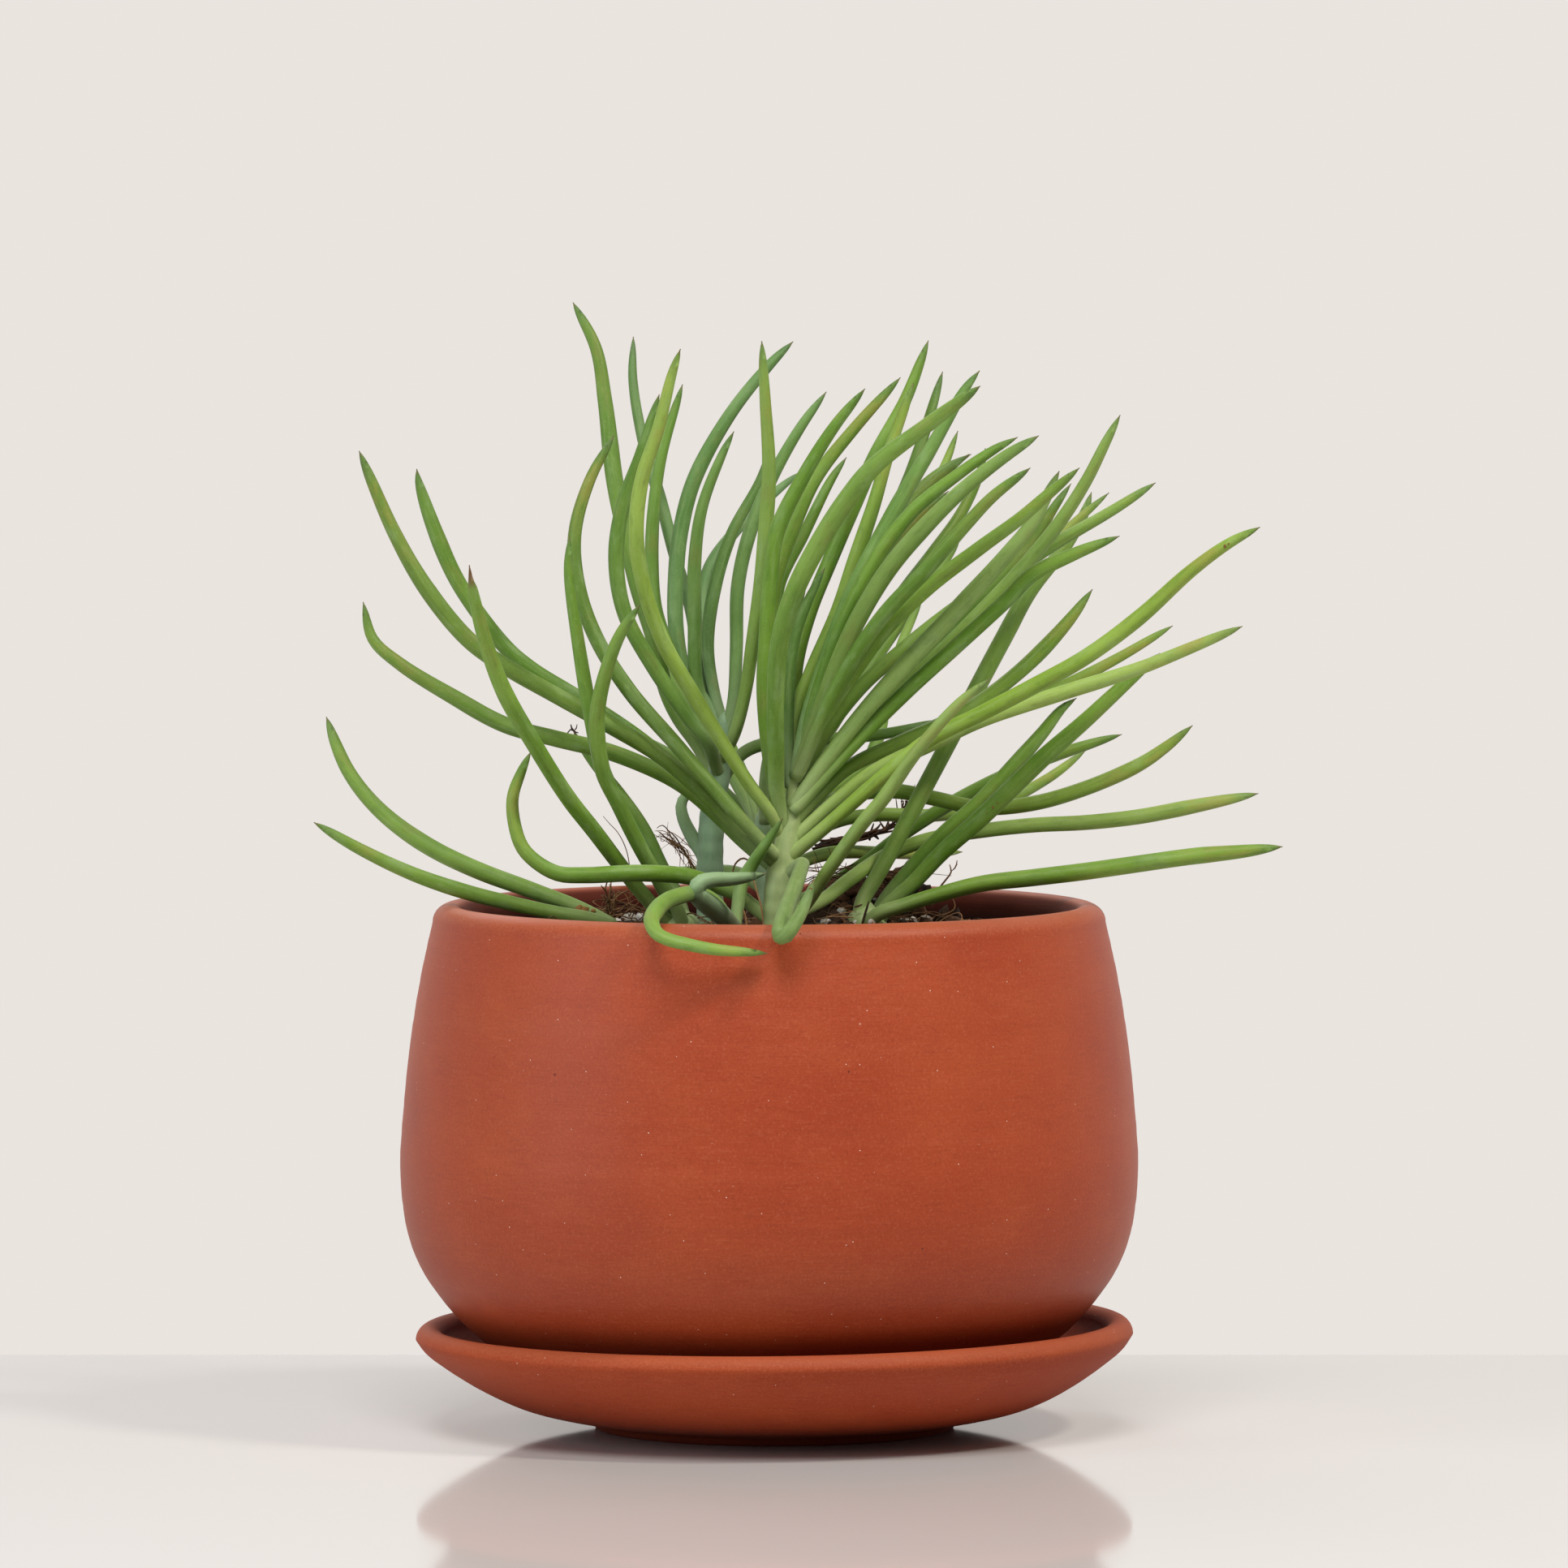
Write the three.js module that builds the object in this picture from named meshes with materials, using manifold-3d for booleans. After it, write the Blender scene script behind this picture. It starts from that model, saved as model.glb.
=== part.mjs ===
// Potted blue chalksticks: narrow round leaves in fanned shoots, standing in a terracotta pot on its saucer.
// Millimetres, +Z up. The origin is on the pot's axis, at the level that the saucer stands on.
// The front faces -Y.
import * as THREE from 'three';
import { mergeVertices } from 'three/addons/utils/BufferGeometryUtils.js';
import Module from 'manifold-3d';

const wasm = await Module();
wasm.setup();

// Gap between pieces that touch, and the number of flats round a turned piece
const CLEARANCE = 0.3;
const TURNED_SIDES = 40;

// The saucer: a foot ring, a bowl that flares from it, and a thick rolled rim that leans a little.
// The pot stands a little to the left of its middle
const DISH_SHIFT = 1;
const FOOT_RADIUS = 34;
const FOOT_HEIGHT = 1.6;
const DISH_UNDER = [[38, 2.2], [43.4, 3.2], [49, 4.7], [55.5, 7.7], [62.4, 12.1], [66.6, 15.5]];
const DISH_FLOOR = 6.6;
const DISH_FLOOR_RADIUS = 39.5;
const DISH_RIM_RADIUS = 65.5;
const DISH_RIM_TOP = 20.3;
const DISH_RIM_HALF = 2.6;
const DISH_INSIDE = [[60.5, 14.9], [55, 11.4], [47, 8.2]];
const DISH_LEAN = 0.011;

// The pot: a flat base, a round belly, and a rim rolled over at the mouth
const POT_BASE_RADIUS = 37.5;
const POT_FLOOR = 14.5;
const POT_FLOOR_RADIUS = 38;
const POT_RIM_RADIUS = 60.4;
const POT_RIM_TOP = 99.8;
const POT_RIM_HALF = 3.4;
const POT_OUTER = [
  [39.5, 7.6], [48, 12.3], [57, 19.2], [62, 24.7], [66.1, 30.8], [68.7, 37.8], [70, 49.3], [69.3, 61.7],
  [68, 74],
  [66, 86.3],
];
const POT_INNER = [[63.2, 52], [56.2, 28]];

// The soil fills the pot up to here, and rises a little at the middle
const SOIL_EDGE = 93;
const SOIL_RISE = 1.4;
const SOIL_LEVEL_RADIUS = 50;
const SOIL_CLODS = 24;
const SOIL_SEED = 11;
const CLOD_SIZE = [1.2, 2.8];
const CLOD_REACH = [12, 50];
// Bark and old roots are heaped up behind the middle, to the right
const HEAP_MIDDLE = [17, 18.5, 93];
const HEAP_HALF = [11.5, 8.5, 8.8];
const HOLE_SIDES = 12;

// A leaf is nearly round and narrower at its root. It thins slowly over its last stretch, to this share of
// its width, and closes in a short blunt point. A stout leaf thins over a shorter stretch. The last rings
// stand closer, at these shares of its end
const LEAF_SIDES = 6;
const LEAF_FLATTENING = 0.88;
const LEAF_ROOT = 0.85;
const LEAF_TAPER = 30;
const STOUT = 15;
const LEAF_TAPER_SHARE = 0.64;
const LEAF_POINT = 2.4;
const LEAF_END = 12;
const LEAF_END_RINGS = [1, 0.42, 0.15, 0];
const LEAF_TIP_RADIUS = 0.32;
const LEAF_MISS = 0.36;
const STEM_SIDES = 8;
const STEM_FOOT = 82;

// The lines below are as they look from this eye: [across, up] in the plane of the pot's axis, and a
// third number gives the depth behind that plane, so a nearer or further point keeps its place in the view
const EYE = new THREE.Vector3(2.8, -2282, 248.1);

const TERRACOTTA = 0xb05a3a;
const SHOOTS = [
  {
    name: 'shoot_front',
    colour: 0x7f9a50,
    stem: [[2.2, 94, -12], [2.5, 103], [3, 108.6], [3.9, 113.6], [4.5, 116.6], [4.7, 120], [5, 124],
      [5.2, 127, -12]],
    thickness: [7, 6.9, 5.6, 4, 3.2, 3.1, 2.7, 2.2],
    leaves: [
      // sweeping out to the left, the lowest first
      [3.2, [[1, 96, -11], [-3, 99.3, -10.3], [-6, 101.5, -10.6], [-10, 103.2, -12], [-15, 104.9, -16],
        [-25, 105.6, -23], [-35, 105.2], [-40, 105.5], [-44, 107.6], [-46.8, 110.5], [-48.3, 115],
        [-48.6, 120], [-46.9, 125], [-45.2, 128.6, -18]]],
      [3.1, [[1, 106.5, -11], [-5, 111.6], [-10, 116.6, -9.5], [-15, 121.1], [-20, 124.3], [-30, 128.5],
        [-40, 131], [-50, 133.7], [-60, 139.1], [-70, 145.3], [-75.1, 150], [-76.9, 157, -2]]],
      [3.2, [[1, 107.8, -13], [-5, 113], [-10, 118.3], [-20, 127.4], [-30, 133.5, -13], [-40, 139.1],
        [-50, 144.8], [-57.1, 150], [-65.2, 160], [-70.9, 170], [-75.3, 180], [-77.6, 185.6, -18]]],
      [2.9, [[1.5, 108.5, -13.5], [-5, 115.4, -16.5], [-10, 121.1], [-17.7, 130, -17], [-26.4, 140],
        [-32.7, 150], [-36.2, 160], [-36.8, 170], [-34, 180], [-29.4, 188.5, -6]]],
      [2.9, [[2.6, 112.6, -12], [0.3, 117, -14], [-3.6, 122.2], [-8.6, 130], [-14.7, 140], [-20.3, 150],
        [-23.7, 160], [-25.1, 170], [-24.1, 180], [-20.9, 190], [-18.4, 200], [-16.8, 204.9, -40]]],
      // rising from the head of the stem
      [3, [[3, 114, -11], [1.4, 119], [-0.1, 128], [-1, 140], [-0.6, 150], [0, 160], [1.3, 170],
        [6, 180], [12.1, 190], [18.1, 197.4, -22]]],
      [3.6, [[3.2, 113.5, -12], [2, 117, -13], [1.4, 121, -14.5], [1.3, 128], [1.2, 140], [2.1, 150],
        [4.8, 159], [9.9, 169], [15, 176.9], [20, 182.9], [30, 190.6], [39.9, 197.9, -52]]],
      [2.6, [[4, 121.8, -12], [3.4, 130], [3.5, 141], [4.6, 149.5], [7, 156.5], [10.5, 163.5, -13]]],
      [2.8, [[4.2, 122.8, -11.5], [2, 134], [0.4, 148], [0.9, 160], [4.1, 170], [8.5, 180], [16.2, 190],
        [24.8, 199.5, -4]]],
      [2.6, [[4.5, 122.8, -10.5], [2.6, 134], [1, 150], [1.7, 160], [6.6, 170], [11.6, 180],
        [14.6, 184.4, 6]]],
      [3, [[4.8, 123.8, -11], [4.6, 133], [5, 145], [7.5, 155], [11.5, 165], [15.8, 175], [20.2, 185],
        [25.6, 195], [28.6, 202.5], [30.1, 206.5, 12]]],
      [2.9, [[4.8, 123.8, -12], [4.1, 133.6], [7.9, 143.6], [12.9, 155], [16.2, 165], [19.6, 175],
        [22.8, 186], [27.3, 198.5, 0]]],
      [2.6, [[5, 123.8, -11], [7, 133], [11, 146], [16, 158], [21.2, 168.5], [26.3, 180], [29.4, 189],
        [31.2, 195], [32.8, 200.6, 20]]],
      [3.1, [[5, 123.8, -13], [7.2, 135], [11.3, 147.5], [16, 159.5], [22, 171], [27, 180], [30, 185],
        [33.5, 191.2], [37.2, 197.5], [39.8, 200.8, -12]]],
      // fanning out high to the right
      [2.4, [[5.2, 123.8, -10], [9.5, 137], [15, 150.5], [21.5, 163.5], [28, 172.8], [33.9, 178, 4]]],
      [2.6, [[5.2, 123.8, -10], [9.5, 140], [15, 156], [21.5, 170], [27.5, 177.5], [32.5, 181.8],
        [38.2, 185, 12]]],
      [2.8, [[5.2, 123.8, -11.5], [8, 138], [13.5, 155], [21, 169], [27.5, 176.3], [32.5, 181],
        [37.8, 185, -2]]],
      [2.8, [[5.2, 123.8, -12.5], [9, 139], [14, 153], [20.5, 165.5], [27.5, 174.5], [35, 180.6],
        [42.5, 185.8], [47, 188.2, -22]]],
      [2.6, [[5.2, 123.8, -10.5], [9.5, 133], [16.5, 145.5], [24, 157], [31, 166.3], [35.8, 173],
        [38.8, 178.7], [40.3, 183], [40.9, 186.1, 14]]],
      [3.3, [[5.2, 123.8, -13], [10.5, 139], [16, 152], [22.5, 163], [30, 171.8], [37.5, 179], [45, 184.8],
        [51, 188.5, -33]]],
      [2.9, [[5.2, 123.8, -14], [10.3, 136], [16, 146.5], [22, 155], [30, 163.5], [37.5, 172], [42.5, 177.2],
        [49.4, 182.4, -42]]],
      [2.9, [[5.2, 123.3, -13], [9.5, 133.5], [15.5, 143], [21.5, 151.3], [30, 159.7], [40, 167.4],
        [47.5, 172.9], [52.5, 177.2], [58.7, 182.4, -36]]],
      // the broad bundle that leans right from the side of the stem
      [3.3, [[4.6, 118, -13], [9.8, 125.6], [17.1, 135], [25.8, 145], [35, 154.9], [45, 166], [50, 172.3],
        [54.9, 181.8, -27]]],
      [2.7, [[4.8, 118.5, -11], [13, 128.5], [22, 139.3], [32.5, 149.5], [42.5, 160], [49.3, 167.5],
        [54, 175], [57.1, 179.4, -4]]],
      [2.9, [[4.6, 117.4, -10.5], [14, 128.3], [22, 136.8, -9], [30, 145], [40, 155], [49.3, 165],
        [55.2, 172.5], [60, 180], [63.8, 187.5], [66.4, 192.4, -14]]],
      [2.3, [[4, 117, -8.5], [20, 134.3], [35, 149.8], [46, 161.4], [54, 168.7], [60, 174],
        [64.3, 177.7, 8]]],
      [2.8, [[4, 119, -9], [10, 131], [17.5, 141], [25, 147.7], [35, 155.6], [45, 162.2], [55, 168.6],
        [65, 174.4], [73.1, 179.6, 3]]],
      [2.9, [[4.6, 117.3, -13.5], [14, 128], [26, 140, -16], [35, 148.2], [45, 157.4], [50, 162.3],
        [57.5, 166], [66.3, 169.5, -22]], STOUT],
      // leaning out to the right
      [2.9, [[3.5, 114, -12.5], [10, 121], [15, 125.6], [25, 130.4], [35, 135], [42.5, 139.9], [50, 146.2],
        [56.5, 153.2], [61.2, 159.4, 4]], STOUT],
      [2.5, [[3, 111.5, -10], [10, 117.5], [22, 126.5], [38, 133.5], [52, 139.3], [65, 145.8],
        [76.4, 152.5, 6]]],
      [2.9, [[3, 110.5, -12], [12, 118.8], [20, 125], [30, 129.8], [40, 134.6], [55, 139.6], [70, 144.4],
        [80, 148.4], [89.6, 152.4, -22]]],
      [3, [[3, 108, -13], [10, 113.8], [20, 122.6], [30, 130.7], [40, 135.8], [50, 141], [60, 146.6],
        [70, 154], [80, 163], [87, 168.1], [92.9, 171.2, -40]]],
      [3.1, [[3, 97, -11], [10, 100.4], [15, 104.2], [22.5, 109.1, 6], [30, 111.9], [40, 113.6], [50, 114.7],
        [60, 115.2], [70, 116.3], [80, 118.2], [92.7, 120.7, 11]], STOUT],
      // in front of them all, up to the right
      [3, [[3, 96.6, -13.5], [5.4, 97.8, -16], [7.6, 100.4, -19.5], [10.5, 105, -23], [14, 110],
        [17.7, 115], [21.9, 120], [27.5, 128], [36, 137.8], [41.9, 142.5, -42]]],
      // bending out over the front of the rim, with its tip turned up again
      [3.5, [[3.6, 105.5, -13], [6, 107.2, -18], [5.6, 105.2, -29], [4.6, 102.3, -42], [3.6, 99.8, -52],
        [2.9, 97.9, -60], [2.3, 95.6, -66], [2.1, 94, -69], [3.2, 93.7, -71], [4.5, 95.4, -70.5],
        [5.9, 97.7, -69.8], [7.3, 100.9, -69], [8.5, 104.6, -68]], STOUT],
    ],
  },
  {
    name: 'shoot_back',
    colour: 0x6f9a78,
    stem: [[-11.2, 94, 10], [-11.2, 108.6], [-10.6, 118.6], [-9.6, 124], [-9, 129], [-8.3, 136, 10]],
    thickness: [5.2, 5, 4.7, 4.3, 4, 2.8],
    leaves: [
      [2.8, [[-11.4, 104, 10], [-12.6, 109], [-14.6, 112.5], [-16.4, 116.4], [-16.6, 119], [-14.8, 121],
        [-11.5, 120.2, 16]]],
      [3.1, [[-10.4, 116.5, 10], [-14, 122, 4], [-24, 130.6], [-36, 138.6], [-45, 144.2], [-50, 148.5],
        [-58.5, 160], [-63.1, 170], [-66.4, 180], [-66.7, 182.2, -2]], STOUT],
      [3, [[-9.6, 124.5, 9], [-12, 131, 3], [-15.2, 135], [-22.1, 145], [-27.4, 155], [-29, 165],
        [-27.8, 175], [-24.3, 185], [-20.8, 196.3, -3]]],
      [3.2, [[-9.6, 123, 10.5], [-13.7, 130], [-17.2, 135], [-19.5, 140], [-21.9, 150], [-25, 160],
        [-27.3, 170], [-29.3, 180], [-31.1, 195], [-32.8, 205], [-37.1, 213.7, 34]]],
      [2.6, [[-9.2, 127, 9], [-12.6, 135, 6.3], [-17.4, 145], [-21.3, 155], [-22.2, 165], [-21.8, 175],
        [-20.3, 185], [-16.4, 198.2, 12]]],
      [3, [[-8.6, 131, 10.5], [-11.5, 137, 12], [-16, 144], [-17.6, 152], [-17.6, 162], [-16.8, 170],
        [-14.2, 180], [-7.5, 192.3], [0, 201.8], [4.5, 206.3, 24]]],
      [2.4, [[-8.4, 132, 11], [-10, 137], [-13, 145], [-15, 156], [-17.8, 165.5], [-20.5, 176],
        [-23.9, 187.5], [-25.8, 199], [-25.7, 207.2, 46]]],
      [2.7, [[-8.6, 130, 9.5], [-11.4, 135], [-13.8, 142], [-14.1, 152], [-14.1, 165], [-12.7, 175],
        [-8.9, 185], [-6.7, 189.3, 2]]],
      [2.6, [[-8.4, 132.5, 11.5], [-10.8, 139], [-12.8, 147], [-13, 154], [-11.3, 163.5], [-5.5, 171.5],
        [1.3, 178], [6, 181.7, 42]]],
      [2.6, [[-8.3, 132.5, 10.5], [-10.4, 140], [-11.6, 149], [-10.2, 160], [-7, 170], [-1.7, 180],
        [0.4, 186.6, 26]]],
      [2.7, [[-8.3, 132, 9.5], [-6.8, 138], [-6.2, 148], [-5.9, 160], [-3.7, 170], [0.3, 180], [5.9, 190],
        [10.8, 196.8, 12]]],
      [2.8, [[-9.2, 127, 9], [-6.4, 132.5, 4], [-4.5, 140], [-3, 150], [-1.6, 160], [-0.7, 170], [0, 182],
        [-0.7, 195], [-1.4, 206.4, -10]]],
      [2.7, [[-9.8, 122, 11], [-5, 128.3], [0, 130.3], [8, 131], [16, 131.3], [24, 132.4], [33, 134.6, 18]]],
    ],
  },
  {
    name: 'shoot_rear',
    colour: 0x6c8a55,
    stem: [[1.2, 95, 26], [0.2, 103], [-0.8, 110], [-0.9, 118, 26]],
    thickness: [5.4, 5, 4.6, 3.2],
    leaves: [
      [2.9, [[0.6, 98.5, 25], [8, 101.5], [17, 106.8, 20], [25, 112.7], [33, 117.9], [40, 121.8],
        [50, 126.4], [60, 129.8], [66.8, 131.9, 30]], STOUT],
      [2.6, [[-0.4, 106, 27], [8, 113], [14, 115.8], [20.5, 116.7, 36], [31, 116.6], [42, 118.2],
        [52.5, 123.4], [60, 128.9, 58]]],
      [2.9, [[-0.6, 110.5, 25], [8, 117.5], [15, 120.3], [24, 121.1, 14], [31, 119.8], [40, 118],
        [50, 118.8], [60, 121.7], [70, 126.1], [75, 129.4], [80.2, 133.6, 14]], STOUT],
      [2.7, [[-0.2, 103.5, 27], [6, 107.6], [12, 109.4], [20, 109.5], [28, 109.2], [36.6, 109.6, 62]]],
      [2.5, [[-0.6, 112, 27], [8, 119], [14, 123], [18.5, 126.8], [20.8, 132], [22, 138], [25, 149],
        [29, 158, 60]]],
      [2.4, [[-0.8, 114, 28], [6, 129], [14, 147], [22, 163.5], [29.5, 176], [33, 182.5], [35.7, 189.4, 62]]],
      [2.8, [[-0.9, 115, 25], [-0.6, 124], [1, 132], [2.6, 142], [4, 152], [7, 161, 18]]],
      [2.8, [[-1, 114, 27], [-5, 124], [-9, 133], [-12, 142], [-13.6, 153], [-13.8, 168, 66]]],
      [2.8, [[-0.6, 113, 28], [6, 124], [12, 134], [19, 145], [26, 155], [36, 168.5, 73]]],
      [2.8, [[-1.2, 110, 27], [-6, 118], [-12, 123.5], [-20, 128.5], [-28, 132.6], [-36, 138, 71]]],
      [2.8, [[-0.4, 111, 28], [7, 116.5], [15, 121.5], [24, 127.5], [33, 132], [50, 139.5, 73]]],
      [2.8, [[-0.9, 115, 27], [0, 126], [1, 136], [1, 146], [0.2, 158], [-0.8, 176, 56]]],
      [2.8, [[-0.4, 102, 27], [-6, 105.6], [-14, 105.6], [-22, 105.3], [-30, 105.4], [-39, 106, 66]]],
      [2.8, [[-1.2, 113, 28], [-8, 126], [-15, 137], [-20, 146], [-23.5, 156], [-26.5, 176, 60]]],
    ],
  },
  {
    name: 'shoot_right',
    colour: 0x6f8f4e,
    stem: [[18.3, 93, -1], [18.6, 97], [19.2, 99.6, -1]],
    thickness: [8.4, 7.4, 3.6],
    leaves: [
      [3.3, [[16.9, 94.5, -2], [17.6, 100], [20.4, 105], [23.2, 110], [28.5, 120], [33.8, 130], [39, 140],
        [44.3, 150], [49.3, 159], [56, 167.5], [59.5, 173.5], [61, 177.8, 16]]],
      [3, [[19.7, 95, 2], [21, 99], [26.5, 106], [33.2, 113.2], [39.5, 118.8], [46.5, 126.2], [51.6, 132],
        [55.5, 136.8], [58.2, 138.8, 4]], STOUT],
      [3.4, [[19.6, 95, -1], [22.5, 99.2], [28, 104.4], [32.6, 109.3], [40, 115.9], [47.5, 123.2],
        [52.5, 128], [60, 134.6], [68.5, 142.5], [74, 147.3, -13]]],
      [3.3, [[17.8, 95.4, -3], [21, 98, -6], [25, 99.3], [30, 100.9], [40, 103.5], [50, 104.7], [60, 105.9],
        [70, 107.3], [80, 108.7], [90, 109.7], [97.3, 110.6, -4]], STOUT],
    ],
  },
  {
    name: 'shoot_left',
    colour: 0x7a9650,
    stem: [[-16.5, 93, -3], [-16.8, 96], [-17.4, 98.8, -3.5]],
    thickness: [7.6, 7, 4],
    leaves: [
      [3.2, [[-18, 95, -3], [-20.7, 97.9], [-25.3, 103.2], [-33.2, 113.6], [-38.2, 120], [-44.5, 130],
        [-50.2, 140], [-53.9, 150], [-56.3, 160], [-56.8, 164, -46]]],
      [3.1, [[-16, 94.5, -5], [-17.8, 99.5], [-23.5, 108.6], [-28.6, 118.6], [-31.6, 125], [-32.7, 135],
        [-30.6, 145], [-28, 151.3], [-24.5, 156.5, -34]]],
      [2.9, [[-16.7, 95, -2], [-19.5, 101], [-26.5, 114.5], [-31.8, 126], [-33.8, 135, -18.2], [-36.3, 150],
        [-38, 163], [-37.8, 169.5, -22]]],
      [2.9, [[-15.6, 95, -1], [-17.4, 101], [-20.6, 107], [-24.2, 114.4], [-28.6, 120.8], [-33.4, 126.8],
        [-36.4, 131.2], [-37.2, 133, 10]]],
    ],
  },
  {
    name: 'sprig_left',
    colour: 0x7d9c5a,
    stem: [[-29.5, 93, 2], [-29.8, 96.4, 2]],
    thickness: [5.4, 4.2],
    leaves: [
      [3, [[-29.4, 95.4, 0.5], [-34, 96.9, -1], [-40, 97.9], [-47.5, 99.5], [-57.5, 102], [-67.5, 105.4],
        [-77.5, 110.1], [-86.3, 115.2, -8]]],
      [3.4, [[-29.8, 95.6, 3.4], [-36, 98.8, 5], [-45, 102.3], [-55, 106], [-63.8, 110.2], [-71.2, 115.2],
        [-76.2, 120], [-79.8, 125], [-82.1, 130], [-83.9, 135.2, 14]]],
    ],
  },
  {
    name: 'shoot_low',
    colour: 0x86a45c,
    stem: [[-6.8, 92, -16.5], [-6.8, 96.4, -16.5]],
    thickness: [5.6, 4.4],
    leaves: [
      [2.9, [[-6.5, 94.5, -15.5], [-6, 98.6], [-5.2, 103.6, -14.4], [-3.3, 107, -14.9], [-1.1, 110.4, -17.6],
        [1, 113.6, -19.4], [2.6, 116, -20.6]]],
      // out over the front of the rim, and back along the wall of the pot
      [3.3, [[-7, 93.5, -17], [-8.2, 96.9, -18.5], [-9.8, 99.6, -21.5], [-12, 101.2, -26], [-15, 101.6, -33],
        [-17.2, 101.2, -42], [-19.5, 100.3, -51], [-21.2, 98.9, -58.5], [-22.3, 96.4, -65],
        [-21.4, 94.2, -68], [-19.6, 93.1, -69], [-15, 91.9, -69.5], [-10, 91, -69], [-5, 90.6, -68.5],
        [-0.3, 90.3, -68]]],
      // short and broad, up to the left and sharply back to the right
      [4, [[-7, 95.4, -17], [-9, 97.6, -23], [-11.2, 99.4, -29], [-13.2, 101, -33],
        [-14, 102.3, -34.5], [-13.2, 103.6, -34], [-10.7, 104.3, -32.5], [-8.2, 104.4, -31],
        [-5.6, 104.6, -30], [-3, 105, -29], [-0.6, 105.5, -28.5]]],
    ],
  },
];

// A closed body of manifold vertices from a geometry, with its shared corners merged
function solidOf(geometry) {
  geometry.deleteAttribute('normal');
  geometry.deleteAttribute('uv');
  const merged = mergeVertices(geometry, 1e-4);
  const vertProperties = Float32Array.from(merged.attributes.position.array);
  const triVerts = Uint32Array.from(merged.index.array);
  return new wasm.Manifold(new wasm.Mesh({ numProp: 3, vertProperties, triVerts }));
}

function geometryOf(solid) {
  const { vertProperties, triVerts } = solid.getMesh();
  const geometry = new THREE.BufferGeometry();
  geometry.setAttribute('position', new THREE.BufferAttribute(vertProperties, 3));
  geometry.setIndex(new THREE.BufferAttribute(triVerts, 1));
  geometry.computeVertexNormals();
  return geometry;
}

function piece(name, geometry, color, roughness) {
  const material = new THREE.MeshStandardMaterial({ color, roughness, metalness: 0 });
  const mesh = new THREE.Mesh(geometry, material);
  mesh.name = name;
  return mesh;
}

// A half outline of [radius, height] points turned round the Z axis
function turned(outline) {
  const points = outline.map(([radius, height]) => new THREE.Vector2(radius, height));
  return new THREE.LatheGeometry(points, TURNED_SIDES).rotateX(Math.PI / 2);
}

// Evenly spaced points on a smooth line through [radius, height] points
function smooth(through, steps) {
  const spline = new THREE.SplineCurve(through.map(([radius, height]) => new THREE.Vector2(radius, height)));
  return spline.getSpacedPoints(steps).map((point) => [point.x, point.y]);
}

// Points over the top of a rolled rim, from its outside to its inside
function rolled(radius, top, half, steps) {
  const arc = new THREE.EllipseCurve(radius, top - half, half, half, 0, Math.PI);
  return arc.getPoints(steps).map((point) => [point.x, point.y]);
}

// A repeatable draw between 0 and 1
function drawsFrom(seed) {
  let state = seed;
  return () => {
    state = (state * 16807) % 2147483647;
    return state / 2147483647;
  };
}

function makeSaucer() {
  const outline = [
    [0, 0],
    [FOOT_RADIUS, 0],
    [FOOT_RADIUS + 0.8, FOOT_HEIGHT],
    ...smooth(DISH_UNDER, 6),
    ...rolled(DISH_RIM_RADIUS, DISH_RIM_TOP, DISH_RIM_HALF, 6),
    ...smooth([...DISH_INSIDE, [DISH_FLOOR_RADIUS, DISH_FLOOR]], 4),
    [0, DISH_FLOOR],
  ];
  const geometry = turned(outline);
  const place = geometry.attributes.position;
  for (let i = 0; i < place.count; i++) {
    const above = Math.max(0, place.getZ(i) - DISH_FLOOR) / (DISH_RIM_TOP - DISH_FLOOR);
    place.setZ(i, place.getZ(i) + DISH_LEAN * place.getX(i) * above);
  }
  geometry.translate(DISH_SHIFT, 0, 0);
  return piece('saucer', geometryOf(solidOf(geometry)), TERRACOTTA, 0.85);
}

// The inside of the pot, from under its rim to the edge of its floor, held in by the gap given
function potInside(gap) {
  const under = [POT_RIM_RADIUS - POT_RIM_HALF, SOIL_EDGE];
  const inside = [under, ...POT_INNER, [POT_FLOOR_RADIUS, POT_FLOOR]];
  return smooth(inside.map(([radius, height]) => [radius - gap, height]), 6);
}

function makePot() {
  const outline = [
    [0, DISH_FLOOR],
    [POT_BASE_RADIUS, DISH_FLOOR],
    ...smooth(POT_OUTER, 11),
    ...rolled(POT_RIM_RADIUS, POT_RIM_TOP, POT_RIM_HALF, 6),
    ...potInside(0),
    [0, POT_FLOOR],
  ];
  return piece('pot', geometryOf(solidOf(turned(outline))), TERRACOTTA, 0.85);
}

// The point at a depth behind the axis plane that looks as if it were at [across, up] in it
function placed(across, up, depth) {
  const reach = (depth - EYE.y) / -EYE.y;
  return new THREE.Vector3(
    EYE.x + (across - EYE.x) * reach,
    depth,
    EYE.z + (up - EYE.z) * reach,
  );
}

// A smooth line through the points, where a depth that isn't given is spread by length
function lineThrough(points) {
  const run = [0];
  for (let i = 1; i < points.length; i++) {
    run.push(run[i - 1] + Math.hypot(points[i][0] - points[i - 1][0], points[i][1] - points[i - 1][1]));
  }
  const known = points.flatMap((point, i) => (point.length === 3 ? [i] : []));
  const places = points.map(([across, up, depth], i) => {
    if (depth !== undefined) return placed(across, up, depth);
    const after = known.find((k) => k > i);
    const before = known[known.indexOf(after) - 1];
    const part = THREE.MathUtils.mapLinear(run[i], run[before], run[after], 0, 1);
    return placed(across, up, THREE.MathUtils.lerp(points[before][2], points[after][2], part));
  });
  return new THREE.CatmullRomCurve3(places, false, 'centripetal');
}

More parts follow.
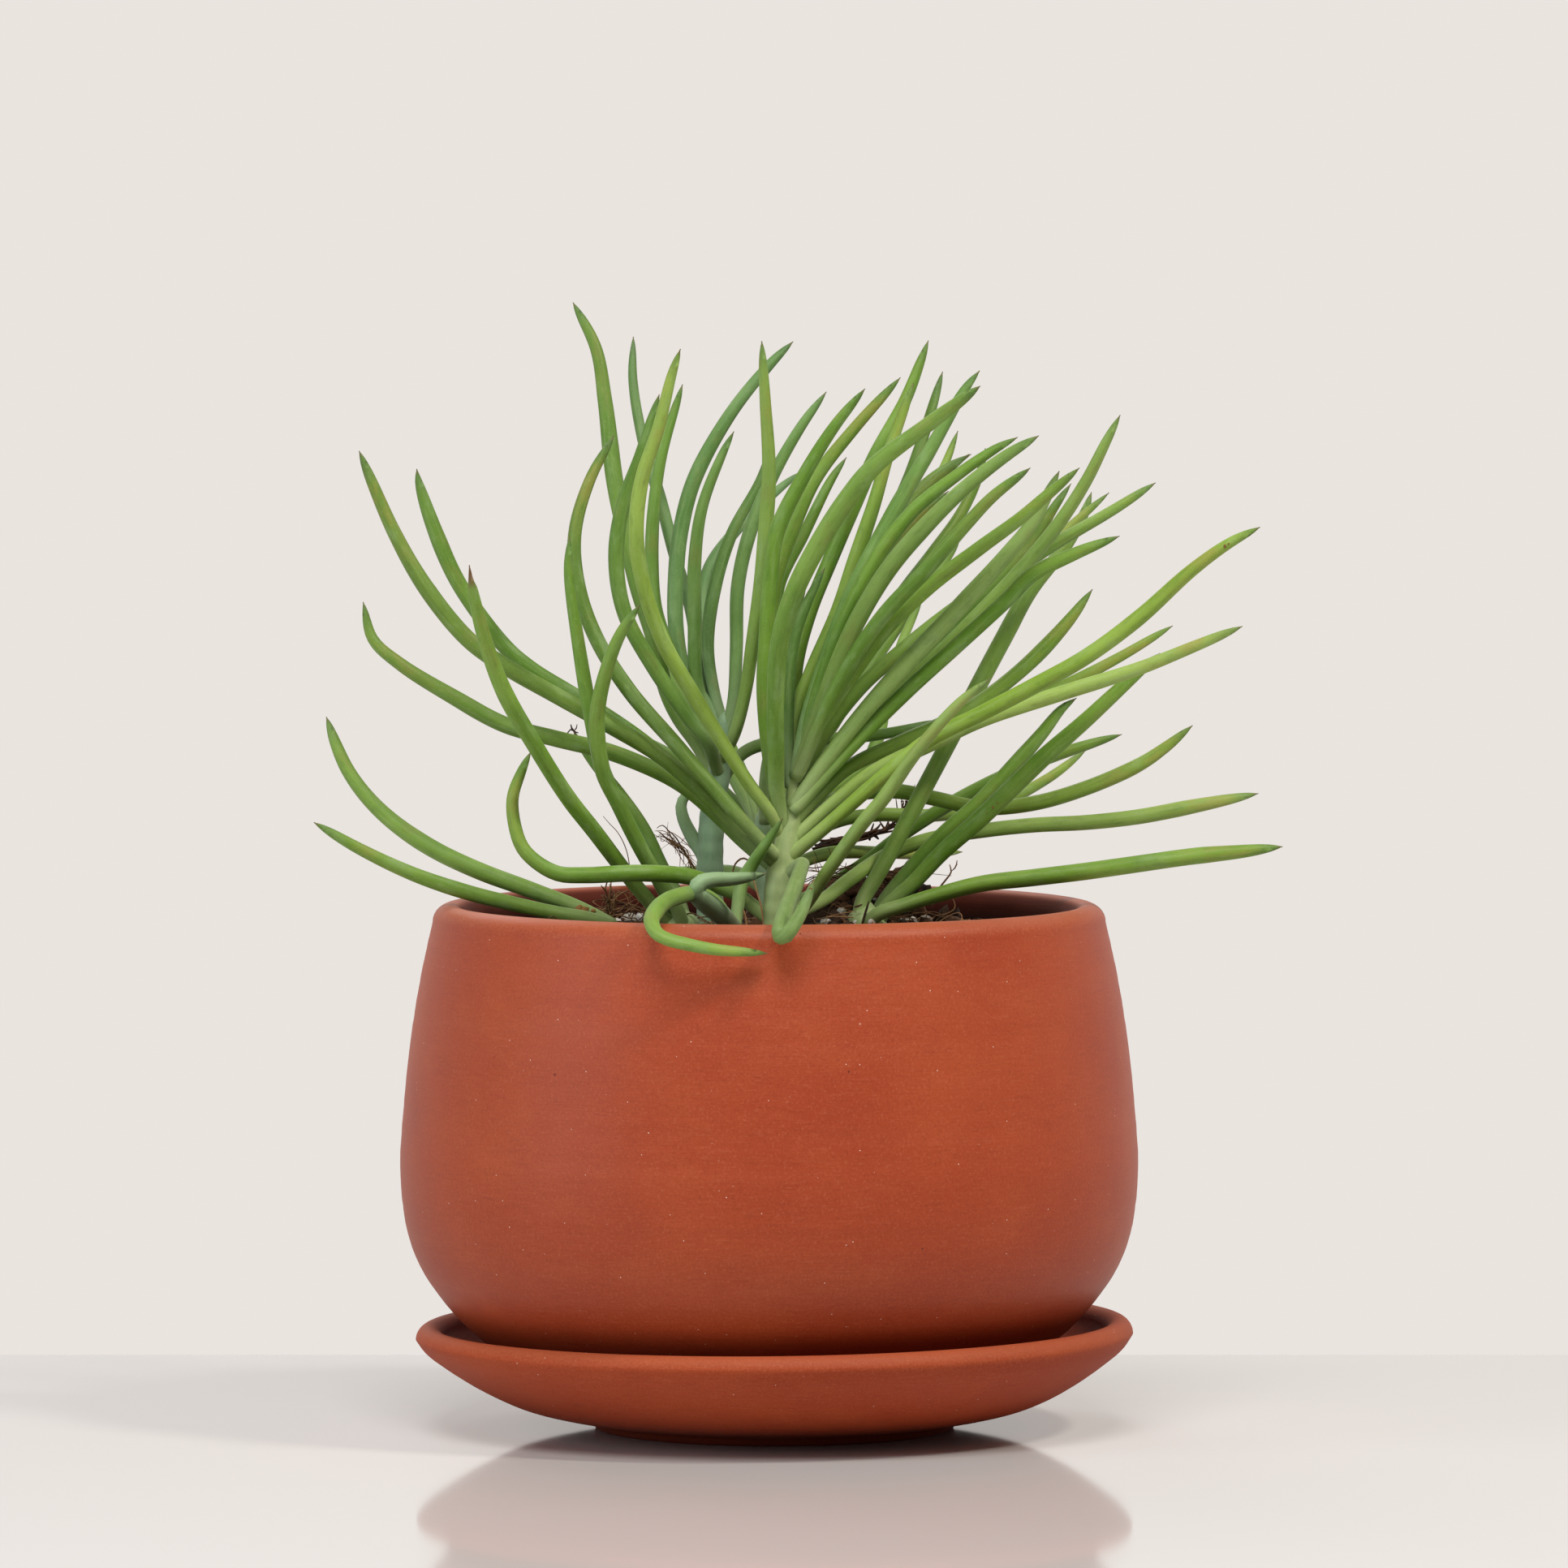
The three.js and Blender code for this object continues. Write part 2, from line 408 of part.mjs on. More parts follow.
// A closed tube along a line: rings at the given shares of its length, each with its own radius
function tube(line, shares, radii, sides, flattening) {
  const side = new THREE.Vector3(1, 0, 0.3).normalize();
  const corners = [];
  shares.forEach((share, ring) => {
    const middle = line.getPointAt(share);
    const along = line.getTangentAt(share);
    side.addScaledVector(along, -side.dot(along)).normalize();
    const across = new THREE.Vector3().crossVectors(along, side);
    for (let k = 0; k < sides; k++) {
      const angle = (2 * Math.PI * k) / sides;
      const corner = middle.clone();
      corner.addScaledVector(side, radii[ring] * Math.cos(angle));
      corner.addScaledVector(across, radii[ring] * flattening * Math.sin(angle));
      corners.push(...corner.toArray());
    }
  });
  const root = corners.length / 3;
  corners.push(...line.getPointAt(shares[0]).toArray());
  const tip = line.getPointAt(shares.at(-1)).addScaledVector(line.getTangentAt(1), radii.at(-1));
  corners.push(...tip.toArray());
  const faces = [];
  const last = (shares.length - 1) * sides;
  for (let k = 0; k < sides; k++) {
    const next = (k + 1) % sides;
    faces.push(root, next, k, root + 1, last + k, last + next);
    for (let row = 0; row < last; row += sides) {
      faces.push(row + k, row + next, row + sides + next, row + k, row + sides + next, row + sides + k);
    }
  }
  const geometry = new THREE.BufferGeometry();
  geometry.setAttribute('position', new THREE.BufferAttribute(Float32Array.from(corners), 3));
  geometry.setIndex(faces);
  return solidOf(geometry);
}

// Shares of a line's length for rings that stand closer where it bends more, so that each straight
// stretch between two of them misses the curve by about the same small distance
function sharesByBend(line, upTo) {
  const length = line.getLength();
  const steps = 60;
  const step = (upTo * length) / steps;
  const weights = [0];
  for (let i = 0; i < steps; i++) {
    const here = line.getTangentAt((i / steps) * upTo);
    const bend = here.angleTo(line.getTangentAt(((i + 1) / steps) * upTo)) / step;
    weights.push(weights[i] + step * Math.sqrt((bend + 0.003) / (8 * LEAF_MISS)));
  }
  const rows = Math.max(3, Math.round(weights[steps]));
  const shares = [];
  for (let row = 0; row < rows; row++) {
    const wanted = (weights[steps] * row) / rows;
    const after = Math.max(1, weights.findIndex((weight) => weight >= wanted));
    const part = THREE.MathUtils.inverseLerp(weights[after - 1], weights[after], wanted);
    shares.push(((after - 1 + part) / steps) * upTo);
  }
  return shares;
}

function makeLeaf([width, points, thinning = LEAF_TAPER]) {
  const line = lineThrough(points);
  const length = line.getLength();
  const end = Math.min(LEAF_END, 0.45 * length);
  const taper = Math.min(thinning, 0.6 * length);
  const shares = sharesByBend(line, 1 - end / length);
  LEAF_END_RINGS.forEach((ring) => shares.push(1 - (ring * end) / length));
  const radii = shares.map((share) => {
    const left = (1 - share) * length;
    const grown = LEAF_ROOT + (1 - LEAF_ROOT) * THREE.MathUtils.smoothstep(share, 0, 0.4);
    const tapered = THREE.MathUtils.lerp(LEAF_TAPER_SHARE, 1, Math.min(1, left / taper));
    const pointed = 1 - Math.exp(-left / LEAF_POINT);
    return Math.max(LEAF_TIP_RADIUS, (width / 2) * grown * tapered * pointed);
  });
  return tube(line, shares, radii, LEAF_SIDES, LEAF_FLATTENING);
}

// A stem runs straight down from its lowest point to its foot in the soil
function makeStem({ stem, thickness }) {
  const line = lineThrough(stem);
  const foot = line.getPointAt(0).setZ(STEM_FOOT);
  const whole = new THREE.CatmullRomCurve3([foot, ...line.points], false, 'centripetal');
  const along = whole.getLength();
  const shares = [0];
  let reached = 0;
  for (let i = 1; i < whole.points.length; i++) {
    reached += whole.points[i].distanceTo(whole.points[i - 1]);
    shares.push(Math.min(1, reached / along));
  }
  shares[shares.length - 1] = 1;
  const radii = [thickness[0], ...thickness].map((across) => across / 2);
  return tube(whole, shares, radii, STEM_SIDES, 1);
}

function makeShoot(shoot) {
  let body = makeStem(shoot);
  shoot.leaves.forEach((leaf) => {
    body = body.add(makeLeaf(leaf));
  });
  return piece(shoot.name, geometryOf(body), shoot.colour, 0.6);
}

// The soil: what fills the pot, with clods standing out of its top and a plain hole for each stem
function makeSoil() {
  const middle = SOIL_EDGE + SOIL_RISE;
  const level = [SOIL_LEVEL_RADIUS, SOIL_EDGE + 0.15 * SOIL_RISE];
  const top = smooth([[0, middle], [0.56 * SOIL_LEVEL_RADIUS, SOIL_EDGE + 0.8 * SOIL_RISE], level], 4);
  const outline = [[0, POT_FLOOR], ...potInside(CLEARANCE).reverse(), ...top.reverse()];
  let body = solidOf(turned(outline));
  const draw = drawsFrom(SOIL_SEED);
  for (let i = 0; i < SOIL_CLODS; i++) {
    const clod = new THREE.IcosahedronGeometry(THREE.MathUtils.lerp(...CLOD_SIZE, draw()), 0);
    clod.scale(1, 0.8, 0.45);
    clod.rotateZ(Math.PI * draw());
    const reach = THREE.MathUtils.lerp(...CLOD_REACH, Math.sqrt(draw()));
    const angle = 2 * Math.PI * draw();
    clod.translate(reach * Math.cos(angle), reach * Math.sin(angle), SOIL_EDGE + 0.5 * SOIL_RISE);
    body = body.add(solidOf(clod));
  }
  const heap = new THREE.IcosahedronGeometry(1, 1).scale(...HEAP_HALF).translate(...HEAP_MIDDLE);
  body = body.add(solidOf(heap));
  SHOOTS.forEach(({ stem, thickness }) => {
    const root = placed(...stem[0]);
    const radius = (thickness[0] / 2 + CLEARANCE) / Math.cos(Math.PI / HOLE_SIDES);
    const bottom = STEM_FOOT - CLEARANCE;
    const depth = POT_RIM_TOP - bottom;
    const hole = new THREE.CylinderGeometry(radius, radius, depth, HOLE_SIDES).rotateX(Math.PI / 2);
    hole.translate(root.x, root.y, bottom + depth / 2);
    body = body.subtract(solidOf(hole));
  });
  return piece('soil', geometryOf(body), 0x3b2a20, 0.95);
}

const plant = new THREE.Group();
plant.add(makeSaucer(), makePot(), makeSoil(), ...SHOOTS.map(makeShoot));

export default plant;
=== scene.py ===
# %% [markdown]
# Potted blue chalksticks in a terracotta pot.
# Blue chalksticks is a succulent whose leaves are narrow, fleshy and pointed. This one has grown long in a
# bright room, so its leaves fan out of a few short stems and lie out over the rim of the pot.
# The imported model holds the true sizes. Here each plain solid is covered by a finer surface of the same
# form, and the small loose things on the soil are added.

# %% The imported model
import math
import bmesh
import bpy
import numpy as np
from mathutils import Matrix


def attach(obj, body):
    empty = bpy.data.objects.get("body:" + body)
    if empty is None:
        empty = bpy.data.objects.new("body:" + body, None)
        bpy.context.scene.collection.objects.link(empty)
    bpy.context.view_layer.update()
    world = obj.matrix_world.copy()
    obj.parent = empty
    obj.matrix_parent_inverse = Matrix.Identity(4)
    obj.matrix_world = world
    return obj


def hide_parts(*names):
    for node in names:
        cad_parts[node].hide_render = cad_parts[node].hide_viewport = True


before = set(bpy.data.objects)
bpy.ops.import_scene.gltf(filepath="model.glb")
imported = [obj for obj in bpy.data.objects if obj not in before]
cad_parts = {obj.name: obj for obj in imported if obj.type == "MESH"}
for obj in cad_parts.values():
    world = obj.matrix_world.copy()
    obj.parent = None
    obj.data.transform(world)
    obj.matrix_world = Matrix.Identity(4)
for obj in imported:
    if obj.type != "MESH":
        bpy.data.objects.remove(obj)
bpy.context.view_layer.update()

MM = 0.001
print("nodes:", ", ".join(sorted(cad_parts)))

# %% [markdown]
# The camera stands where the photographer stood: a little above the rim, over two metres away, with a long
# lens. The ellipses of the two rims give its height, and the width of the picture at the pot gives the lens.

# %% Camera
EYE = np.array([2.8, -2282.0, 248.1])
AIM = np.array([2.8, 0.0, 122.5])
PICTURE_WIDTH = 297.2
SENSOR = 36.0


def added(name, data):
    """Adds an object of this name and data to the scene."""
    made = bpy.data.objects.new(name, data)
    bpy.context.scene.collection.objects.link(made)
    return made


def make_camera():
    data = bpy.data.cameras.new("camera")
    data.sensor_width = SENSOR
    data.lens = SENSOR * float(np.linalg.norm(AIM - EYE)) / PICTURE_WIDTH
    camera = added("camera", data)
    camera.location = EYE * MM
    camera.rotation_euler = (math.pi / 2 + math.atan2(AIM[2] - EYE[2], AIM[1] - EYE[1]), 0, 0)
    bpy.context.scene.camera = camera
    print("lens", round(data.lens, 1), "mm")


make_camera()

# %% [markdown]
# Every surface here is a grid: rings of corners, one after another, closed by a point at each end. A turned
# pot, a leaf and a root fibre are all such grids, so one function joins the corners of any of them.

# %% Grids of rings
def ring_faces(rows, sides):
    """Joins rows of rings into faces. Corner k of ring i is i * sides + k. The last two corners are the
    points that close the first and the last ring. Each face turns so that it looks outwards."""
    ring, corner = np.meshgrid(np.arange(rows - 1), np.arange(sides), indexing="ij")
    here = ring * sides + corner
    beside = ring * sides + (corner + 1) % sides
    quads = np.stack([here, beside, beside + sides, here + sides], axis=-1).reshape(-1, 4)
    k = np.arange(sides)
    start, end = rows * sides, rows * sides + 1
    last = (rows - 1) * sides
    first_fan = np.stack([np.full(sides, start), (k + 1) % sides, k], axis=-1)
    last_fan = np.stack([np.full(sides, end), last + k, last + (k + 1) % sides], axis=-1)
    return quads.tolist() + first_fan.tolist() + last_fan.tolist()


def closed_grid(grid, ends):
    """The corners and faces of a grid of rings that a point closes at each end."""
    rows, sides = grid.shape[:2]
    return np.vstack([grid.reshape(-1, 3), ends]), ring_faces(rows, sides)


def angles(sides):
    """The angles of equal steps round a full turn."""
    return np.arange(sides) * 2 * math.pi / sides


class Surface:
    """Collects closed grids, in millimetres, with a number or a vector for each corner under each name."""

    def __init__(self):
        self.corners = []
        self.faces = []
        self.marks = {}
        self.count = 0

    def add(self, corners, faces, **marks):
        """Adds one grid. A mark is one value for the whole grid or one for each of its corners."""
        self.corners.append(corners)
        self.faces += [[self.count + corner for corner in face] for face in faces]
        for name, values in marks.items():
            one = np.asarray(values, float)
            width = 1 if one.ndim < 2 else one.shape[1]
            spread = np.broadcast_to(one.reshape(-1, width), (len(corners), width))
            self.marks.setdefault(name, []).append(spread)
        self.count += len(corners)

    def piece(self, name, finish, slot, *nodes):
        """Makes the object, in metres, smooth, riding with the model and standing for the nodes named."""
        mesh = bpy.data.meshes.new(name)
        mesh.from_pydata((np.vstack(self.corners) * MM).tolist(), [], self.faces)
        for mark, parts in self.marks.items():
            values = np.vstack(parts)
            kind = "FLOAT" if values.shape[1] == 1 else "FLOAT_VECTOR"
            held = mesh.attributes.new(mark, kind, "POINT").data
            held.foreach_set("value" if kind == "FLOAT" else "vector", values.astype(np.float32).ravel())
        mesh.shade_smooth()
        mesh.materials.append(finish)
        made = added(name, mesh)
        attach(made, "root")
        if nodes:
            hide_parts(*nodes)
        triangles = sum(len(face) - 2 for face in self.faces)
        print(f"{name}: {triangles} triangles")


# %% [markdown]
# A finish is a tree of nodes. Written as sums and products it reads like the recipe that it is, so a small
# class wraps each output, and the arithmetic on it adds the Math nodes.

# %% Shader arithmetic
class Wire:
    """One output in a finish's tree. Arithmetic on it adds Math nodes."""

    def __init__(self, finish, socket):
        self.finish = finish
        self.socket = socket

    def work(self, operation, first, second):
        return self.finish.node("Math", {"operation": operation}, {0: first, 1: second})

    def __add__(self, other):
        return self.work("ADD", self, other)

    __radd__ = __add__

    def __sub__(self, other):
        return self.work("SUBTRACT", self, other)

    def __rsub__(self, other):
        return self.work("SUBTRACT", other, self)

    def __mul__(self, other):
        if isinstance(other, tuple):
            return self.finish.node("VectorMath", {"operation": "MULTIPLY"}, {0: self, 1: other})
        return self.work("MULTIPLY", self, other)

    __rmul__ = __mul__


class Finish:
    """A material, built by expressions."""

    def __init__(self, name):
        self.material = bpy.data.materials.new(name)
        self.material.use_nodes = True
        self.tree = self.material.node_tree
        self.tree.nodes.clear()
        self.place = self.node("TexCoord", output="Object")

    def node(self, kind, settings=None, inputs=None, output=0):
        """Adds a node: first its settings, then each socket's number or wire. Gives one of its outputs."""
        made = self.tree.nodes.new("ShaderNode" + kind)
        for name, value in (settings or {}).items():
            setattr(made, name, value)
        for name, value in (inputs or {}).items():
            if isinstance(value, Wire):
                self.tree.links.new(value.socket, made.inputs[name])
            else:
                made.inputs[name].default_value = value
        return Wire(self, made.outputs[output])

    def noise(self, size, detail, stretch=(1, 1, 1), of=None, roughness=0.5):
        """A soft random pattern from 0 to 1, whose patches are about size millimetres across. Of another
        vector than the place, size is in that vector's own measure."""
        unit = size * MM if of is None else size
        scale = tuple(1 / unit / s for s in stretch)
        vector = self.place if of is None else of
        moved = self.node("Mapping", {"vector_type": "POINT"}, {"Vector": vector, "Scale": scale})
        inputs = {"Vector": moved, "Scale": 1.0, "Detail": detail, "Roughness": roughness}
        return self.node("TexNoise", {"noise_dimensions": "3D"}, inputs)

    def cells(self, size, output="Distance"):
        """Random cells about size millimetres apart: the distance to the nearest middle, or its colour."""
        inputs = {"Vector": self.place, "Scale": 1 / (size * MM)}
        return self.node("TexVoronoi", {"feature": "F1"}, inputs, output)

    def span(self, value, start, full):
        """Changes smoothly from 0 to 1 while the value goes from start to full."""
        inputs = {"Value": value, 1: start, 2: full}
        return self.node("MapRange", {"interpolation_type": "SMOOTHSTEP"}, inputs)

    def part(self, vector, axis):
        return self.node("SeparateXYZ", {}, {"Vector": vector}, axis)

    def blend(self, share, first, second):
        """Mixes two colours: the first where the share is 0, the second where it is 1."""
        return self.node("Mix", {"data_type": "RGBA"}, {0: share, 6: first, 7: second}, 2)

    def layered(self, colour, layers):
        """Lays colours over a first one. A layer is its pattern, the pattern's values where the layer starts
        and where it is full, its share there, and its colour."""
        for pattern, start, full, share, shade in layers:
            colour = self.blend(self.span(pattern, start, full) * share, colour, rgb(*shade))
        return colour

    def mark(self, name, output="Fac"):
        return self.node("Attribute", {"attribute_name": name}, {}, output)

    def bump(self, height, depth, normal=None):
        """Raises the surface by the height from 0 to 1, up to depth millimetres."""
        inputs = {"Height": height, "Distance": depth * MM, "Strength": 1.0}
        if normal is not None:
            inputs["Normal"] = normal
        return self.node("Bump", {}, inputs, "Normal")

    def close(self, **sockets):
        """Ends the tree in a Principled shader. A socket's name is written with _ for its spaces."""
        inputs = {name.replace("_", " "): value for name, value in sockets.items()}
        shader = self.node("BsdfPrincipled", {}, inputs)
        end = self.tree.nodes.new("ShaderNodeOutputMaterial")
        self.tree.links.new(shader.socket, end.inputs["Surface"])
        return self.material


def rgb(red, green, blue):
    """A colour as it shows on a screen, from 0 to 255, turned into the light that a shader needs."""
    shown = np.array([red, green, blue]) / 255
    light = np.where(shown <= 0.04045, shown / 12.92, ((shown + 0.055) / 1.055) ** 2.4)
    return (*light.tolist(), 1.0)


# %% [markdown]
# The clay is bare and unglazed. A brush and the potter's rib leave hair-fine lines round it, and it has tiny
# pale specks, a few dark pits and a sandier, paler edge where the rim was wiped. The lines are a noise that
# is squeezed along the height, so it stretches round the pot as real ones do. Inside the mouth a painted
# shade darkens the wall, more so further down, and a painted shade darkens the clay towards its foot.

# %% Clay
CLAY_WARM, CLAY_DEEP = rgb(168, 70, 33), rgb(158, 60, 26)
ROUND_THE_AXIS = (16, 16, 1)
WIPED_START, WIPED_FULL = 3.2, 0.6
SPECK_APART, SPECK_SHARE = 1.3, (0.1, 0.05)
PIT_APART, PIT_SHARE = 3.7, (0.07, 0.04)
SEAT_REACH = 8.0
INNER_SHADE_REACH = 5.0
INNER_SHADE_RADIUS, INNER_SHADE_START, INNER_SHADE_FULL = (60.0, 58.2), 42.0, 40.0


def clay(name, gloss, rim_top, seat, painted_seat_shade, inner_shade_below=None):
    """Fired clay: its gloss, the height of its rim, the height of the seat below which a painted shade
    darkens it towards the bottom, that painted shade's share, and the height below which its inside gets a
    painted shade, darker further down. The inner painted shade starts 42 mm under that height, so that it
    never reaches the base."""
    f = Finish(name)
    height = f.part(f.place, "Z") * (1 / MM)
    out = f.node("VectorMath", {"operation": "LENGTH"}, {0: f.place * (1, 1, 0)}, "Value") * (1 / MM)
    hairlines = f.noise(0.34, 3.0, ROUND_THE_AXIS, roughness=0.7)
    bands = f.noise(5.0, 2.0, ROUND_THE_AXIS)
    cloud = f.noise(42.0, 3.0)
    mottle = f.noise(11.0, 3.0, (1.7, 1.7, 1), roughness=0.6)
    grain = f.noise(0.5, 3.0, roughness=0.7)
    colour = f.blend(f.span(cloud, 0.3, 0.7), CLAY_WARM, CLAY_DEEP)
    colour = f.layered(colour, [
        (mottle, 0.5, 0.75, 0.25, (180, 86, 42)),
        (mottle, 0.46, 0.25, 0.2, (142, 50, 26)),
        (hairlines, 0.52, 0.8, 0.17, (196, 112, 80)),
        (hairlines, 0.47, 0.2, 0.32, (112, 38, 22)),
        (bands, 0.5, 0.8, 0.1, (180, 92, 62)),
        (grain, 0.5, 0.8, 0.42, (190, 108, 78)),
        (grain, 0.5, 0.2, 0.4, (108, 36, 22)),
        (height + 3 * (grain - 0.5), rim_top - WIPED_START, rim_top - WIPED_FULL, 0.3, (176, 108, 76)),
    ])
    chosen = f.part(f.cells(SPECK_APART, "Color"), "X")
    speck = f.span(f.cells(SPECK_APART), *SPECK_SHARE) * f.span(chosen + 0.12 * cloud, 0.955, 0.99)
    colour = f.blend(speck * 0.85, colour, rgb(250, 232, 218))
    pitted = f.part(f.cells(PIT_APART, "Color"), "Y")
    pit = f.span(f.cells(PIT_APART), *PIT_SHARE) * f.span(pitted, 0.92, 0.93)
    colour = f.blend(pit * 0.7, colour, rgb(76, 28, 18))
    # Painted shade: below the seat the clay darkens towards the bottom.
    colour = f.layered(colour, [(height, seat, seat - SEAT_REACH, painted_seat_shade, (84, 28, 18))])
    roughness = 0.9 - 1.5 * gloss + 0.12 * grain
    # Painted shade inside the mouth: dark, and darker further below the rim. The inside is also made
    # rougher.
    if inner_shade_below:
        above_base = f.span(height, inner_shade_below - INNER_SHADE_START, inner_shade_below - INNER_SHADE_FULL)
        inside = f.span(out + 0.8 * bands, *INNER_SHADE_RADIUS) * above_base
        inner_shade_depth = f.span(height + 2 * bands, inner_shade_below, inner_shade_below - INNER_SHADE_REACH)
        colour = f.blend(inside, colour, f.blend(inner_shade_depth, rgb(96, 36, 21), rgb(30, 10, 5)))
        roughness = roughness + 0.35 * inside
    normal = f.bump(hairlines, 0.035)
    normal = f.bump(grain, 0.04, normal)
    normal = f.bump(1 - pit, 0.12, normal)
    return f.close(Base_Color=colour, Roughness=roughness, Normal=normal, Specular_IOR_Level=gloss)


POT_TOP, DISH_TOP, DISH_FLOOR = 99.8, 20.3, 6.6
# Both pieces of clay get painted shade near their foot, and the pot a painted shade inside its mouth.
pot_clay = clay("pot_clay", gloss=0.32, rim_top=POT_TOP, seat=26.0, painted_seat_shade=0.45, inner_shade_below=POT_TOP - 1)
dish_clay = clay("dish_clay", gloss=0.22, rim_top=DISH_TOP, seat=6.0, painted_seat_shade=1.0)

# %% [markdown]
# Pot and saucer are turned, so each is one outline of radius and height, carried round the axis. The
# outline starts on the axis underneath, goes up the outside, rolls over the rim and comes back to the axis
# inside.
# A hand-made pot is never quite round, and the rib leaves rings, so the radius wavers by less than 0.1 mm.

# %% Lines
SPAN_STEPS = 16


def flowing(points):
    """A centripetal Catmull-Rom line. Each span is a cubic from one point to the next, and its slope at a
    point comes from both neighbours, divided by the square roots of their distances."""
    points = np.asarray(points, float)
    ends = np.vstack([2 * points[0] - points[1], points, 2 * points[-1] - points[-2]])
    gap = np.sqrt(np.linalg.norm(np.diff(ends, axis=0), axis=1))[:, None]
    before, here, there, after = ends[:-3], ends[1:-2], ends[2:-1], ends[3:]
    g0, g1, g2 = gap[:-2], gap[1:-1], gap[2:]
    leaving = ((here - before) / g0 - (there - before) / (g0 + g1) + (there - here) / g1) * g1
    arriving = ((there - here) / g1 - (after - here) / (g1 + g2) + (after - there) / g2) * g1
    t = np.linspace(0, 1, SPAN_STEPS, endpoint=False)[None, :, None]
    line = (2 * t**3 - 3 * t**2 + 1) * here[:, None] + (t**3 - 2 * t**2 + t) * leaving[:, None]
    line = line + (3 * t**2 - 2 * t**3) * there[:, None] + (t**3 - t**2) * arriving[:, None]
    return np.vstack([line.reshape(-1, points.shape[1]), points[-1:]])


def run_of(line):
    """The length along a line up to each of its places."""
    return np.concatenate([[0], np.cumsum(np.linalg.norm(np.diff(line, axis=0), axis=1))])


def at_shares(line, shares):
    """The places at the given shares of a line's length."""
    run = run_of(line)
    return np.stack([np.interp(shares * run[-1], run, axis) for axis in line.T], axis=-1)


def evenly(points, step):
    """The flowing line through the points, cut into equal steps of about the given length."""
    line = flowing(points)
    count = max(2, round(run_of(line)[-1] / step) + 1)
    return at_shares(line, np.linspace(0, 1, count))


# %% Turned shapes
RIM_STEPS = 16
OUTSIDE_STEP = 0.9
RING_WAVES, RING_LENGTHS, RING_DEPTH = 14, (1.5, 9.0), 0.014
OUT_OF_ROUND = [(2, 1.1, 0.05), (3, 4.0, 0.025)]
AXIS_FADE = 40


def rolled_rim(radius, top, half):
    """A half circle over the rim, from its outside to its inside."""
    turn = np.linspace(0, math.pi, RIM_STEPS)
    return np.stack([radius + half * np.cos(turn), top - half + half * np.sin(turn)], axis=-1)


def bowl_outline(under, outer, rim, inner, inner_step, floor):
    """Goes out underneath, up outside, over the rim and down inside to the floor's middle. The rim is its
    radius, its top and half its thickness."""
    over = rolled_rim(*rim)
    side = evenly([*outer, tuple(over[0])], OUTSIDE_STEP)
    inside = evenly([tuple(over[-1]), *inner], inner_step)
    return np.vstack([under, side, over[1:-1], inside, floor])


def summed_waves(way, lengths, starts, height):
    """Adds up sine waves of these lengths along the way into a relief of about this height."""
    waves = np.sin(2 * math.pi * way / lengths + starts).sum(axis=-1)
    return waves * height / math.sqrt(len(lengths) / 2)


def turned(outline, sides, seed):
    """Carries [radius, height] points round the axis. The radius gains rings, which are a sum of waves along
    the outline, and a slow waver round the axis. Both fade to nothing near the axis."""
    draw = np.random.default_rng(seed)
    run = run_of(outline)[:, None]
    lengths, starts = draw.uniform(*RING_LENGTHS, RING_WAVES), draw.uniform(0, 2 * math.pi, RING_WAVES)
    rings = summed_waves(run, lengths, starts, RING_DEPTH)
    angle = angles(sides)
    waver = sum(depth * np.cos(lobes * angle + start) for lobes, start, depth in OUT_OF_ROUND)
    radius, height = outline[1:-1, 0], outline[1:-1, 1]
    fade = np.clip(radius / AXIS_FADE, 0, 1)
    wide = radius[:, None] + fade[:, None] * (rings[1:-1, None] + waver)
    grid = np.stack([wide * np.cos(angle), wide * np.sin(angle), np.repeat(height[:, None], sides, 1)], -1)
    return closed_grid(grid, [[0, 0, outline[0, 1]], [0, 0, outline[-1, 1]]])


# %% The pot
POT_FLOOR = 14.5
POT_SIDES = 176
POT_OUTLINE = {
    "under": [(0, DISH_FLOOR), (12, DISH_FLOOR), (26, DISH_FLOOR), (36.9, DISH_FLOOR)],
    "outer": [(37.5, DISH_FLOOR), (39.5, 7.6), (48, 12.3), (57, 19.2), (62, 24.7), (66.1, 30.8),
              (68.7, 37.8), (70, 49.3), (69.3, 61.7), (68, 74), (66, 86.3)],
    "rim": (60.4, POT_TOP, 3.4),
    "inner": [(57, 93), (63.2, 52), (56.2, 28), (38, POT_FLOOR)],
    "inner_step": 3.0,
    "floor": [(18, POT_FLOOR), (0, POT_FLOOR)],
}
pot = Surface()
pot.add(*turned(bowl_outline(**POT_OUTLINE), POT_SIDES, seed=3))
pot.piece("clay_pot", pot_clay, "terracotta_pot", "pot")

# %% The saucer
DISH_SHIFT = 1.0
DISH_LEAN = 0.011
DISH_OUTLINE = {
    "under": [(0, 0), (16, 0), (33.2, 0), (34, 0.25), (34.3, 0.8)],
    "outer": [(34.8, 1.6), (38, 2.2), (43.4, 3.2), (49, 4.7), (55.5, 7.7), (62.4, 12.1), (66.6, 15.5)],
    "rim": (65.5, DISH_TOP, 2.6),
    "inner": [(60.5, 14.9), (55, 11.4), (47, 8.2), (39.5, DISH_FLOOR)],
    "inner_step": 1.2,
    "floor": [(20, DISH_FLOOR), (0, DISH_FLOOR)],
}
corners, faces = turned(bowl_outline(**DISH_OUTLINE), POT_SIDES, seed=8)
above_floor = np.clip(corners[:, 2] - DISH_FLOOR, 0, None) / (DISH_TOP - DISH_FLOOR)
corners[:, 2] += DISH_LEAN * corners[:, 0] * above_floor
corners[:, 0] += DISH_SHIFT
saucer = Surface()
saucer.add(corners, faces)
saucer.piece("clay_saucer", dish_clay, "terracotta_saucer", "saucer")

# %% [markdown]
# The soil is a loose mix of peat, bark, coir and perlite. Its top is one closed surface with hollows and
# clods, which are waves and small domes added up, and it goes down the inside of the pot to its floor.
# Behind the middle, to the right, bark and old roots are heaped up higher than the rim.

